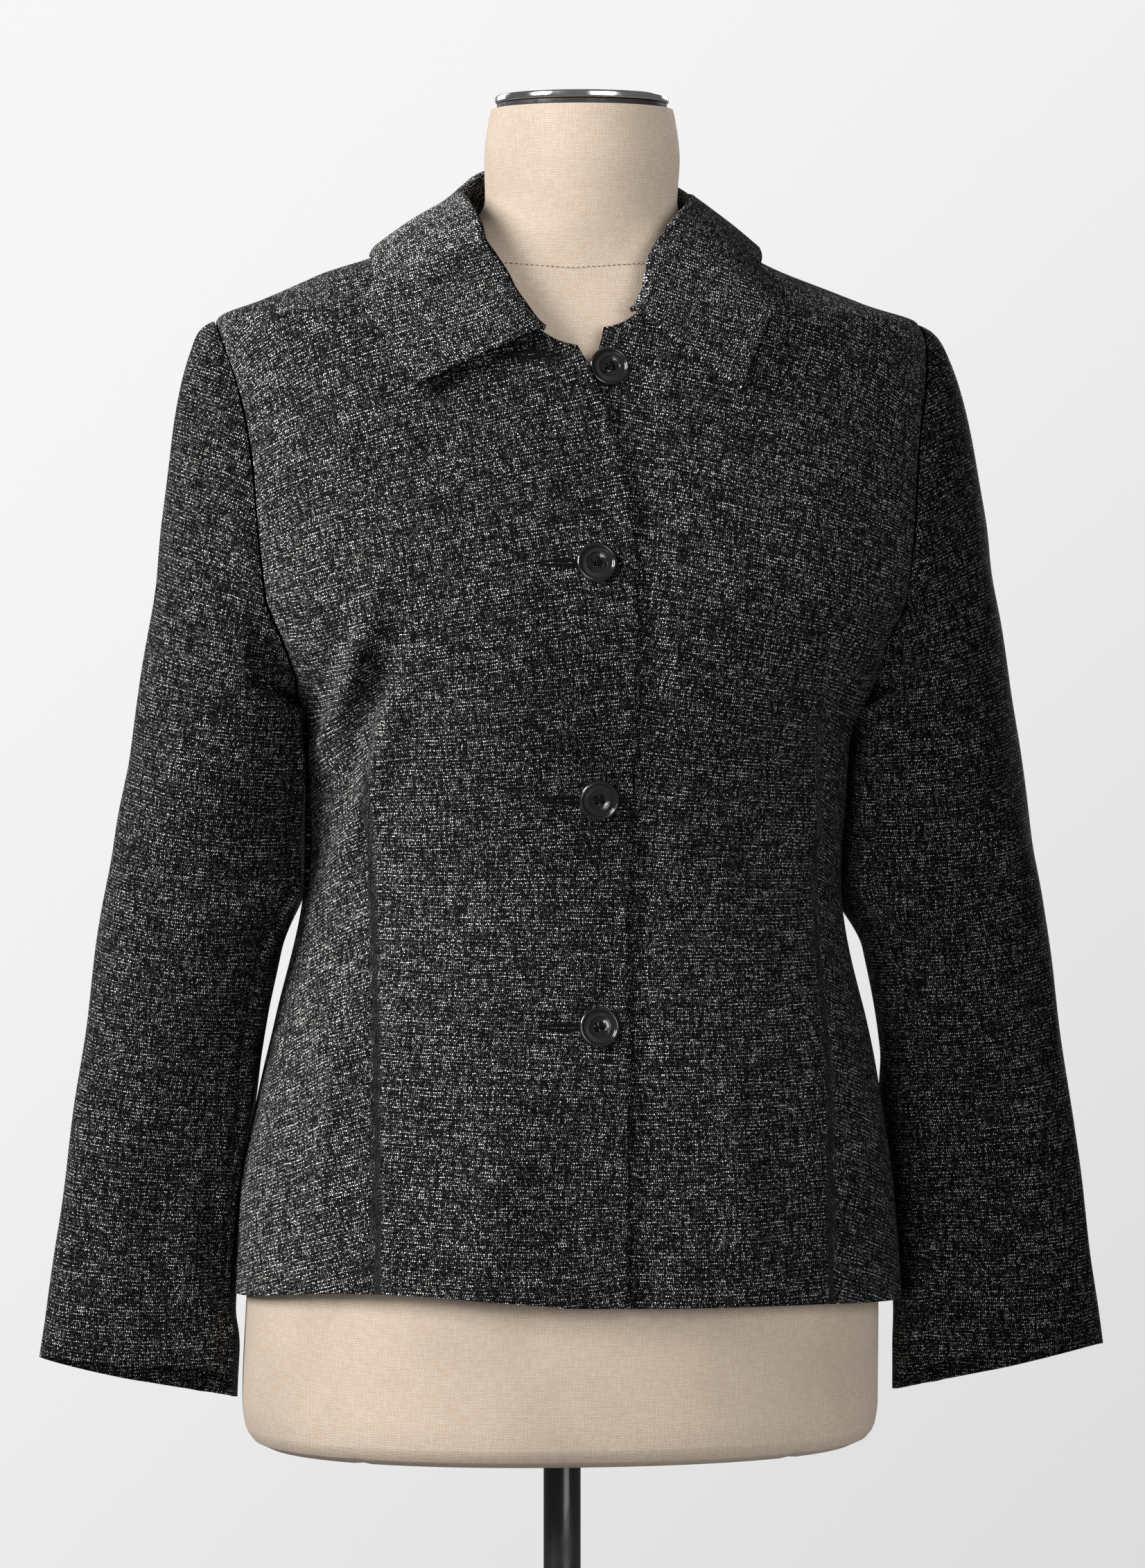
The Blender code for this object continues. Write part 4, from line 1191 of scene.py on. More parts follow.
def grid_mesh(name: str, points: Array) -> tuple[Object, Array, Array]:
    """Lay a grid primitive onto a grid of places.

    Args:
        name: the new object's name.
        points: places, rows by columns.

    Returns:
        The object, and each vertex's row and column.
    """
    rows, columns = points.shape[:2]
    deselect_all()
    bpy.ops.mesh.primitive_grid_add(x_subdivisions=columns - 1, y_subdivisions=rows - 1, size=1.0)
    made = bpy.context.object
    made.name = name
    start = np.empty(len(made.data.vertices) * 3)
    made.data.vertices.foreach_get("co", start)
    start = start.reshape(-1, 3)
    column = np.rint((start[:, 0] + 0.5) * (columns - 1)).astype(int)
    row = np.rint((start[:, 1] + 0.5) * (rows - 1)).astype(int)
    made.data.vertices.foreach_set("co", points[row, column].ravel())
    made.data.update()
    return made, row, column


def set_grain(obj: Object, grain: Array) -> None:
    """Write a flat place in metres for every vertex to the grain map.

    Args:
        obj: object whose first UV map becomes the grain map.
        grain: flat place of each vertex.
    """
    layer = obj.data.uv_layers[0]
    layer.name = "grain"
    corners = np.empty(len(obj.data.loops), dtype=np.int32)
    obj.data.loops.foreach_get("vertex_index", corners)
    layer.uv.foreach_set("vector", grain[corners].ravel())


@dataclass
class ClothPiece:
    """One cut piece of the jacket."""

    node: str
    thick: float = 0.0022
    offset: float = -1.0
    edge_round: float = 0.0008
    thin_share: float = 0.55
    held: Held = Held.DRAPED
    rests_on: tuple[str, ...] = ("linen_form",)
    obj: Object | None = None
    flat_size: Pair = (0.0, 0.0)
    flat_area: float = 0.0
    where: ArrayPair | None = None

    @property
    def name(self) -> str:
        """Name of the dressed piece."""
        return f"{self.node}_cloth"

    def lay(self, grid: ClothGrid, line: tuple[int, int, int]) -> Array:
        """Lay the cloth on its grid, and flatten it to find its grain.

        Args:
            grid: outer places and directions.
            line: first row, last row and column of the straight grain.

        Returns:
            Flat place in metres of every grid place.
        """
        self.obj, row, column = grid_mesh(self.name, grid.points)
        mesh = self.obj.data
        facing = np.empty(len(mesh.vertices) * 3)
        mesh.vertices.foreach_get("normal", facing)
        turned = np.sum(facing.reshape(-1, 3) * grid.normals[row, column]) < 0
        bpy.ops.object.mode_set(mode="EDIT")
        bpy.ops.mesh.select_all(action="SELECT")
        if turned:
            bpy.ops.mesh.flip_normals()
        bpy.ops.uv.unwrap(method="MINIMUM_STRETCH", iterations=6, margin=0.0)
        bpy.ops.object.mode_set(mode="OBJECT")
        corners = np.empty(len(mesh.loops), dtype=np.int32)
        mesh.loops.foreach_get("vertex_index", corners)
        loose = np.empty(len(mesh.loops) * 2)
        mesh.uv_layers[0].uv.foreach_get("vector", loose)
        flat = np.zeros(grid.points.shape[:2] + (2,))
        flat[row[corners], column[corners]] = loose.reshape(-1, 2)
        steps = [np.linalg.norm(np.diff(g, axis=0), axis=-1).sum() for g in (grid.points, flat)]
        run = flat[line[1], line[2]] - flat[line[0], line[2]]
        turn = math.atan2(run[0], run[1])
        spin = np.array([[math.cos(turn), math.sin(turn)], [-math.sin(turn), math.cos(turn)]])
        flat = (flat - flat[line[0], line[2]]) @ spin * steps[0] / steps[1]
        self.where = (row, column)
        self.flat_size = tuple(float(size) for size in np.ptp(flat.reshape(-1, 2), axis=0))
        self.flat_area = sum(face.area for face in mesh.polygons)
        return flat

    def finish_shell(self, flat: Array) -> None:
        """Write the grain, then give the cloth its thickness and round edges."""
        row, column = self.where
        set_grain(self.obj, flat[row, column])
        wall = self.obj.modifiers.new("wall", "SOLIDIFY")
        wall.thickness = self.thick
        wall.offset = self.offset
        if self.obj.vertex_groups:
            wall.vertex_group = self.obj.vertex_groups[0].name
            wall.thickness_vertex_group = self.thin_share
        soften_edges(self.obj, self.edge_round, 2, 50.0)
        bpy.ops.object.shade_smooth()

    def dress(self, finish: Material) -> None:
        """Give the piece its finish, hide its CAD part and attach it to the root.

        Args:
            finish: the cloth's material.
        """
        wear_finish(self.obj, finish)
        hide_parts(self.node)
        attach(self.obj, "root")


@dataclass
class BodyPanel(ClothPiece):
    """Panel of the body, sewn at its side, armhole and shoulder."""

    row_parts: int = 8
    ripple: float = 0.00035
    seam_dip: float = 0.0009
    seam_reach: float = 0.0045

    def rows(self, cut: JacketCut) -> Array:
        """Numbers of the panel's rows, with their parts."""
        return np.linspace(0, cut.panel_rows, cut.panel_rows * self.row_parts + 1)

    def sew(self, cut: JacketCut, grid: ClothGrid, rise: Array) -> None:
        """Raise the folds, and sink and draw back the cloth at its outer seams.

        Args:
            cut: the shared borders.
            grid: places and directions of the panel.
            rise: height of the folds.
        """
        seam = np.minimum(grid.edge_distance(Border.LAST_COLUMN), grid.edge_distance(Border.LAST_ROW))
        rise = rise - self.seam_dip * bell(seam, self.seam_reach)
        grid.raise_by(rise)
        grid.clear_form(cut, rise)
        for border in (Border.LAST_COLUMN, Border.LAST_ROW):
            grid.pull_back(border, cut.half_gap)


# Creases: place and height of the start and of the end, half width, height, bow
FRONT_CREASES = {
    Side.RIGHT: creases(
        (0.122, 1.22, 0.16, 1.092, 0.0075, 0.0072, 0.003),
        (0.112, 1.162, 0.146, 1.024, 0.008, 0.0062, 0.003),
        (0.142, 0.99, 0.152, 0.822, 0.011, 0.0056),
        (0.146, 1.19, 0.174, 1.086, 0.008, -0.0036, 0.003),
        (0.112, 1.19, 0.15, 1.076, 0.008, -0.0036),
        (0.138, 1.112, 0.164, 1.012, 0.009, -0.0036, -0.002),
        (0.142, 1.246, 0.168, 1.202, 0.005, 0.0023),
        (0.048, 0.935, 0.07, 0.786, 0.015, 0.0029, 0.004),
        (0.1, 0.905, 0.096, 0.782, 0.011, -0.0019),
        (0.012, 0.9, 0.022, 0.782, 0.012, -0.0015),
        (0.044, 1.046, 0.112, 1.026, 0.0055, -0.0015, 0.002),
        (0.024, 1.014, 0.094, 1.004, 0.0065, 0.0014),
        (0.02, 1.088, 0.078, 1.102, 0.005, 0.0013),
        (0.016, 1.212, 0.066, 1.196, 0.0055, 0.0013),
        (0.06, 1.3, 0.14, 1.262, 0.013, -0.0018),
    ),
    Side.LEFT: creases(
        (0.15, 1.19, 0.172, 1.12, 0.013, 0.0045),
        (0.16, 1.11, 0.12, 1.03, 0.014, 0.003),
        (0.15, 0.96, 0.165, 0.83, 0.02, 0.0035),
        (0.116, 1.208, 0.18, 1.184, 0.006, 0.0029, 0.002),
        (0.124, 1.186, 0.176, 1.156, 0.0055, -0.0021),
        (0.15, 1.15, 0.118, 1.075, 0.006, -0.0021, 0.003),
        (0.148, 1.066, 0.112, 1.012, 0.0065, -0.0018),
        (0.072, 0.94, 0.088, 0.786, 0.016, 0.0032, -0.004),
        (0.118, 0.9, 0.126, 0.784, 0.009, -0.0024),
        (0.04, 0.89, 0.046, 0.786, 0.012, -0.0016),
        (0.05, 1.04, 0.104, 1.03, 0.006, 0.0016),
        (0.03, 1.02, 0.088, 1.012, 0.0055, -0.0012),
        (0.062, 1.31, 0.135, 1.258, 0.014, -0.0019),
        (0.04, 1.13, 0.1, 1.148, 0.007, 0.0014),
    ),
}
FRONT_DARTS = {
    Side.RIGHT: DartLine(
        (
            (0.78, 0.12), (0.914, 0.121), (1.004, 0.1228),
            (1.087, 0.1255), (1.153, 0.1263), (1.196, 0.1345),
        ),
        tilt=math.radians(20.0),
    ),
    Side.LEFT: DartLine(
        (
            (0.78, 0.141), (0.914, 0.1385), (1.004, 0.134),
            (1.087, 0.132), (1.15, 0.133), (1.19, 0.138),
        ),
        tilt=math.radians(18.0),
    ),
}


@dataclass
class FrontPanel(BodyPanel):
    """One front, from the overlapping edge to the side seam and armhole."""

    side: Side = Side.RIGHT
    columns: int = 88
    hem_lift: dict[Side, float] = field(default_factory=lambda: {Side.RIGHT: 0.0085, Side.LEFT: 0.002})
    hem_power: int = 4
    underlap_drop: float = 0.0032
    underlap_past: float = 0.004
    underlap_fade: float = 0.022
    edge_roll: float = 0.0012
    edge_reach: float = 0.0032

    def build(self, cut: JacketCut) -> None:
        """Shape the front and lay its cloth.

        Args:
            cut: the shared borders.
        """
        side = self.side
        row = self.rows(cut)
        start, end = cut.front_border(row, side), cut.outer_border(row, Facing.FRONT, side)
        turns, heights = cut.even_rows(start, end, self.columns, side)
        across = np.sin(math.pi * np.linspace(0, 1, self.columns + 1)) ** 2
        above_hem = np.clip(1 - row / cut.side_rows, 0, 1) ** self.hem_power
        heights = heights + self.hem_lift[side] * above_hem[:, None] * across
        grid = cut.grid(turns, heights, side)
        up = grid.points[..., 2]
        beside = side.value * (grid.points[..., 0] - cut.shell.middle(up))
        rise = soft_ripple(grid.points, self.ripple)
        for crease in FRONT_CREASES[side] + (FRONT_DARTS[side],):
            rise = rise + crease.rise(beside, up)
        past_edge = grid.edge_distance(Border.FIRST_COLUMN) - self.edge_reach
        rise = rise + self.edge_roll * bell(past_edge, self.edge_reach)
        if side is Side.LEFT:
            under = 1 - smooth_step((beside - cut.overlap - self.underlap_past) / self.underlap_fade)
            rise = rise * (1 - under) - self.underlap_drop * under
        self.sew(cut, grid, rise)
        flat = self.lay(grid, (0, cut.side_rows * self.row_parts, 0))
        self.finish_shell(self.tilted(flat, beside, up))

    def tilted(self, flat: Array, beside: Array, up: Array) -> Array:
        """Turn the grain of the cloth beyond the dart, which the dart takes in.

        Args:
            flat: flat places before the dart is sewn.
            beside: sideways distance of each place.
            up: height of each place.

        Returns:
            Flat places with the side part turned about the dart's point.
        """
        dart = FRONT_DARTS[self.side]
        off, top = dart.offset(beside, up), dart.rows[-1][0]
        tip = np.unravel_index(np.argmin(np.hypot(off, up - top)), up.shape)
        past = smooth_step(off / dart.tilt_edge) * smooth_step((top - up) / dart.tilt_fade)
        angle = past * dart.tilt * np.sign(flat[0, -1, 0] - flat[0, 0, 0])
        rest = flat - flat[tip]
        u = rest[..., 0] * np.cos(angle) - rest[..., 1] * np.sin(angle)
        v = rest[..., 0] * np.sin(angle) + rest[..., 1] * np.cos(angle)
        return np.stack([u, v], axis=-1) + flat[tip]


BACK_CREASES = creases(
    (-0.15, 1.102, -0.078, 1.052, 0.01, -0.0024, 0.004),
    (0.146, 1.092, 0.072, 1.056, 0.0095, -0.0029),
    (-0.132, 1.062, -0.046, 1.032, 0.009, 0.0029),
    (0.122, 1.056, 0.058, 1.026, 0.008, 0.0022, -0.003),
    (-0.088, 1.218, -0.156, 1.162, 0.011, -0.0025),
    (0.096, 1.226, 0.152, 1.16, 0.01, -0.0021, 0.003),
    (-0.11, 1.18, -0.16, 1.136, 0.008, 0.0023),
    (0.118, 1.176, 0.15, 1.122, 0.009, 0.0027),
    (-0.028, 0.955, -0.042, 0.785, 0.017, 0.0036, 0.005),
    (0.052, 0.94, 0.068, 0.785, 0.019, 0.0041),
    (-0.112, 0.93, -0.128, 0.785, 0.014, -0.0021),
    (0.12, 0.925, 0.138, 0.785, 0.012, -0.0024),
    (0.01, 0.92, 0.006, 0.785, 0.013, -0.0016),
    (-0.04, 1.04, 0.036, 1.034, 0.006, -0.0015),
    (-0.02, 1.012, 0.05, 1.016, 0.0065, 0.0016),
    (-0.06, 1.345, 0.055, 1.34, 0.009, -0.0015, 0.006),
)
BACK_DART = DartLine(((0.78, 0.086), (0.95, 0.08), (1.04, 0.076), (1.18, 0.082)), depth=0.0009)


@dataclass
class BackPanel(BodyPanel):
    """Whole back, shaped by a dart on each side of its middle."""

    half_columns: int = 58

    def half(self, cut: JacketCut, side: Side) -> ClothGrid:
        """Shape half the back, from its middle to one side.

        Args:
            cut: the shared borders.
            side: side of the wearer.

        Returns:
            Places and directions of that half.
        """
        row = self.rows(cut)
        start, end = cut.back_border(row, side), cut.outer_border(row, Facing.BACK, side)
        grid = cut.grid(*cut.even_rows(start, end, self.half_columns, side), side)
        up = grid.points[..., 2]
        beside = grid.points[..., 0] - cut.shell.middle(up)
        rise = soft_ripple(grid.points, self.ripple)
        for crease in BACK_CREASES:
            rise = rise + crease.rise(beside, up)
        rise = rise + BACK_DART.rise(np.abs(beside), up)
        self.sew(cut, grid, rise)
        return grid

    def build(self, cut: JacketCut) -> None:
        """Join the two halves and lay the cloth.

        Args:
            cut: the shared borders.
        """
        right, left = (self.half(cut, side) for side in (Side.RIGHT, Side.LEFT))
        grid = ClothGrid(
            np.concatenate([right.points[:, :0:-1], left.points], axis=1),
            np.concatenate([right.normals[:, :0:-1], left.normals], axis=1),
        )
        flat = self.lay(grid, (0, cut.side_rows * self.row_parts, self.half_columns))
        self.finish_shell(flat)


# Places on a sleeve: turn in degrees, 0 outward and 90 to the front, then height
SLEEVE_FOLD_COLUMNS = ("turn", "height", "turn_reach", "height_reach", "depth")
SLEEVE_FOLDS = (
    (75.0, 1.03, 38.0, 0.016, -0.003),
    (100.0, 0.985, 40.0, 0.015, -0.0025),
    (20.0, 1.215, 30.0, 0.022, -0.002),
    (120.0, 1.07, 35.0, 0.014, -0.0025),
    (34.0, 0.865, 24.0, 0.095, 0.0034),
    (104.0, 0.865, 28.0, 0.095, -0.0034),
    (0.0, 1.045, 34.0, 0.026, -0.0022),
    (40.0, 1.11, 24.0, 0.06, -0.002),
    (100.0, 1.11, 26.0, 0.06, 0.0022),
)
SLEEVE_CREASES = {
    Side.RIGHT: creases(
        (165.0, 1.062, 96.0, 1.022, 0.007, -0.0024, 0.002),
        (158.0, 1.034, 82.0, 0.992, 0.008, 0.0025),
        (170.0, 0.992, 112.0, 0.955, 0.007, -0.0021),
        (150.0, 1.15, 106.0, 1.218, 0.007, -0.0023),
        (136.0, 1.12, 94.0, 1.168, 0.008, 0.0022),
        (22.0, 1.105, -8.0, 1.01, 0.012, 0.0005, 0.004),
        (62.0, 0.905, 76.0, 0.8, 0.01, 0.0023),
        (118.0, 0.89, 127.0, 0.772, 0.006, -0.0027),
        (100.0, 0.862, 113.0, 0.774, 0.0075, 0.0027),
        (36.0, 0.97, 52.0, 0.88, 0.011, -0.0015),
        (-58.0, 1.104, -110.0, 1.052, 0.009, -0.0025),
        (-78.0, 1.044, -138.0, 1.002, 0.0085, 0.0023),
        (-50.0, 0.952, -102.0, 0.914, 0.008, -0.0019),
        (-70.0, 0.88, -84.0, 0.77, 0.011, 0.0022),
        (205.0, 1.06, 225.0, 1.0, 0.008, -0.0018),
    ),
    Side.LEFT: creases(
        (160.0, 1.074, 90.0, 1.046, 0.0075, -0.0023),
        (168.0, 1.026, 86.0, 0.998, 0.007, 0.0022, 0.002),
        (162.0, 0.97, 104.0, 0.942, 0.0075, -0.0019),
        (146.0, 1.16, 98.0, 1.214, 0.0065, -0.0019),
        (132.0, 1.112, 88.0, 1.172, 0.0085, 0.0025),
        (14.0, 1.09, -14.0, 0.995, 0.013, 0.0006),
        (54.0, 0.93, 70.0, 0.815, 0.011, 0.002, -0.003),
        (122.0, 0.876, 130.0, 0.774, 0.006, -0.0021),
        (96.0, 0.85, 108.0, 0.776, 0.008, 0.0022),
        (40.0, 0.985, 60.0, 0.9, 0.01, -0.0016),
        (-62.0, 1.09, -116.0, 1.046, 0.0085, -0.0023),
        (-72.0, 1.03, -134.0, 0.99, 0.008, 0.0022),
        (-46.0, 0.94, -96.0, 0.896, 0.009, -0.0018),
        (210.0, 1.05, 228.0, 0.985, 0.008, -0.0018),
    ),
}


@dataclass
class SleevePiece(ClothPiece):
    """One piece of a two-piece sleeve, between two of its seams."""

    side: Side = Side.RIGHT
    first_seam: float = math.radians(-120.0)
    last_seam: float = math.radians(135.0)
    columns: int = 108
    crowd: float = 0.8
    cap_rows: int = 56
    arm_rows: int = 128
    shift: float = 0.0098
    squareness: float = 2.2
    clear: float = 0.003
    clear_low: float = 0.001
    clear_soft: float = 0.004
    hem_fade: Pair = (0.755, 0.785)
    pit_drop: float = 0.004
    pit_fade: float = 0.02
    hug: float = 0.018
    low_hug: float = 0.005
    hug_span: Pair = (0.988, 1.146)
    hug_fade: Pair = (0.048, 0.014)
    hug_start: float = 0.5
    hug_inner: float = 0.15
    hug_front: float = 0.4
    low_hug_below: Pair = (0.93, 0.035)
    clear_above: Pair = (0.92, 0.04)
    cap_reach: Pair = (0.02, 0.005)
    cap_slope: float = 0.25
    cap_over_least: float = 0.15
    cap_straight: float = 1.2
    cap_inward: float = 0.15
    cap_spread: float = 1.25
    cap_handle: Pair = (0.38, 0.34)
    cap_lean: Pair = (0.1, 0.05)
    cuff_power: int = 4
    cuff_tilt: float = 0.008
    cuff_lift_front: float = 0.007
    cuff_lift_fold: float = 0.009
    cuff_fold_at: float = math.radians(125.0)
    cuff_fold_width: float = math.radians(35.0)
    mean_radius: float = 0.055
    ripple: float = 0.00035
    fold_slant: float = 0.5
    head_roll: float = 0.001
    head_reach: float = 0.011
    seam_gap: float = 0.00005
    seam_dip: float = 0.0016
    seam_reach: float = 0.003
    seam_swell: float = 0.0006
    swell_at: float = 2.6
    fold_start: float = 0.012

    def ring(self, angle: Array, height: Array) -> Array:
        """Places of the sleeve below its cap.

        Args:
            angle: turn round the sleeve, 0 outward.
            height: height of the ring's middle.

        Returns:
            Places before they are held clear of the body.
        """
        step = 0.004
        size = read_table(SLEEVE_RINGS, RING_COLUMNS, height)
        high = np.minimum(height + step, SLEEVE_RINGS[-1][0])
        low = np.maximum(height - step, SLEEVE_RINGS[0][0])
        above, below = (read_table(SLEEVE_RINGS, RING_COLUMNS, z)["out"] for z in (high, low))
        slope = (below - above) / (high - low)
        power = 2.0 / self.squareness
        outward = size["half_width"] * signed_power(np.cos(angle), power)
        forward = size["half_depth"] * signed_power(np.sin(angle), power)
        tilt = 1 / np.sqrt(1 + slope**2)
        x = self.shift + self.side.value * (size["out"] + outward * tilt)
        return np.stack([x, size["back"] - forward, height + outward * slope * tilt], axis=-1)

    def cap(self, cut: JacketCut, folded: Array, ring: Array, along: Array) -> Array:
        """Places of the cap, from the armhole over to the first ring.

        Args:
            cut: the shared borders.
            folded: turn round the sleeve, from minus pi to pi.
            ring: places of the first ring.
            along: 0 at the armhole, 1 at the first ring.

        Returns:
            Places of the cap.
        """
        sign = self.side.value
        facing = np.where(folded >= 0, 1.0, -1.0)
        turn, hole_z = cut.armhole(np.abs(folded), facing)
        start = cut.shell.point(turn, hole_z, sign)
        inward = np.stack([np.zeros_like(turn), facing * np.sin(np.abs(folded)), -np.cos(folded)], -1)
        normal = cut.shell.normal(turn, hole_z, sign)
        inward = unit(square_to(inward, normal))
        lift = 0.5 + 0.5 * np.cos(folded)
        over_top = np.clip(lift, self.cap_over_least, 1.0)
        outward = sign * (over_top + self.cap_straight * (1 - lift))
        away = np.stack([outward, np.zeros_like(turn), -self.cap_slope * over_top], axis=-1)
        away = unit(away + inward * self.cap_inward)
        start = start + inward * cut.seam_gap + away * cut.seam_gap
        first = start + away * (self.cap_reach[0] + self.cap_reach[1] * lift)[..., None]
        drop = np.linalg.norm(ring - start, axis=-1, keepdims=True)
        lean = self.cap_lean[0] + self.cap_lean[1] * lift
        upward = unit(np.stack([-sign * lean, np.zeros_like(lean), np.ones_like(lean)], axis=-1))
        last = ring + upward * drop * (self.cap_handle[0] + self.cap_handle[1] * lift)[..., None]
        t = along[..., None]
        return (
            start * (1 - t) ** 3
            + first * 3 * t * (1 - t) ** 2
            + last * 3 * t * t * (1 - t)
            + ring * t**3
        )

    def point(self, cut: JacketCut, angle: Array, along: Array) -> Array:
        """Places of the sleeve.

        Args:
            cut: the shared borders.
            angle: turn round the sleeve, 0 outward.
            along: 0 at the armhole, 1 under the cap, 2 at the cuff.

        Returns:
            Places held clear of the body.
        """
        angle, along = np.broadcast_arrays(np.asarray(angle, float), np.asarray(along, float))
        cuff, top = SLEEVE_RINGS[0][0], SLEEVE_RINGS[-1][0]
        past_cap = np.clip(along - 1, 0, 1)
        ring = self.ring(angle, top + (cuff - top) * past_cap)
        folded = wrapped(angle)
        cap = self.cap(cut, folded, ring, np.clip(along, 0, 1))
        points = np.where((along < 1)[..., None], cap, ring)
        z = points[..., 2]
        low, high = self.hug_span
        window = smooth_step((z - low) / self.hug_fade[0]) * smooth_step((high - z) / self.hug_fade[1])
        window = window * smooth_step(along / self.hug_start)
        inner = smooth_step(self.hug_inner - np.cos(angle)) * (1.0 - self.hug_front * np.sin(angle))
        low_window = smooth_step((self.low_hug_below[0] - z) / self.low_hug_below[1])
        draw = (self.hug * window + self.low_hug * low_window) * inner
        points = points - np.stack([self.side.value * draw, 0 * z, 0 * z], axis=-1)
        below_pit = smooth_step((cut.armhole_pit - self.pit_drop - z) / self.pit_fade)
        above_hem = smooth_step((z - self.hem_fade[0]) / (self.hem_fade[1] - self.hem_fade[0]))
        high_up = smooth_step((z - self.clear_above[0]) / self.clear_above[1])
        near = self.clear_low + (self.clear - self.clear_low) * high_up
        points = cut.shell.push_clear(points, near, below_pit * above_hem, self.clear_soft)
        points = cut.form.push_clear(points, self.clear + cut.cloth, below_pit, self.clear_soft)
        past_fold = wrapped(folded - self.cuff_fold_at)
        lift = self.cuff_lift_front * np.sin(folded) + self.cuff_tilt * np.cos(folded)
        lift += self.cuff_lift_fold * bell(past_fold, self.cuff_fold_width)
        points[..., 2] += lift * past_cap**self.cuff_power
        return points

    def folds(self, angle: Array, points: Array) -> Array:
        """Height of the sleeve's large folds and small creases.

        Args:
            angle: turn round the sleeve.
            points: places of the sleeve.

        Returns:
            How far each place is lifted.
        """
        up = points[..., 2]
        rise = soft_ripple(points, self.ripple)
        for row in SLEEVE_FOLDS:
            fold = dict(zip(SLEEVE_FOLD_COLUMNS, row))
            turn = (np.degrees(angle) - fold["turn"]) / fold["turn_reach"]
            high = (up - fold["height"]) / fold["height_reach"]
            rise = rise + fold["depth"] * np.exp(-(turn**2) - (high - self.fold_slant * turn) ** 2)
        round_way = np.broadcast_to(angle * self.mean_radius, up.shape)
        for crease in SLEEVE_CREASES[self.side]:
            start, end = (
                (math.radians(turn) * self.mean_radius, high) for turn, high in (crease.start, crease.end)
            )
            placed = replace(crease, start=start, end=end)
            rise = rise + placed.rise(round_way, up)
        return rise

    def build(self, cut: JacketCut) -> None:
        """Shape the sleeve piece and lay its cloth.

        Args:
            cut: the shared borders.
        """
        share = np.linspace(0, 1, self.columns + 1)
        share = share - self.crowd * np.sin(2 * math.pi * share) / (2 * math.pi)
        angle = (self.first_seam + (self.last_seam - self.first_seam) * share)[None, :]
        cap = np.linspace(0, 1, self.cap_rows, endpoint=False) ** self.cap_spread
        along = np.concatenate([cap, np.linspace(1, 2, self.arm_rows + 1)])[:, None]
        step = 1e-3
        points = self.point(cut, angle, along)
        across = self.point(cut, angle + step, along) - self.point(cut, angle - step, along)
        start, end = np.maximum(along - step, 0), np.minimum(along + step, 2)
        down = self.point(cut, angle, end) - self.point(cut, angle, start)
        grid = ClothGrid(points, unit(np.cross(across, down) * self.side.value))
        from_hole = run_length(points, 0)
        over = np.clip(np.cos(angle), 0, 1)
        roll = self.head_roll * over * np.exp(-((from_hole / self.head_reach - 1) ** 2) * 2)
        seam = np.minimum(grid.edge_distance(Border.FIRST_COLUMN), grid.edge_distance(Border.LAST_COLUMN))
        dip = self.seam_dip * bell(seam, self.seam_reach)
        dip = dip - self.seam_swell * bell(seam / self.seam_reach - self.swell_at, 1.0)
        fade = smooth_step(from_hole / self.fold_start)
        grid.raise_by((self.folds(angle, points) - dip) * fade + roll)
        for border in (Border.FIRST_COLUMN, Border.LAST_COLUMN):
            grid.pull_back(border, self.seam_gap)
        flat = self.lay(grid, (len(along) - 1, self.cap_rows, self.columns // 2))
        self.finish_shell(flat)


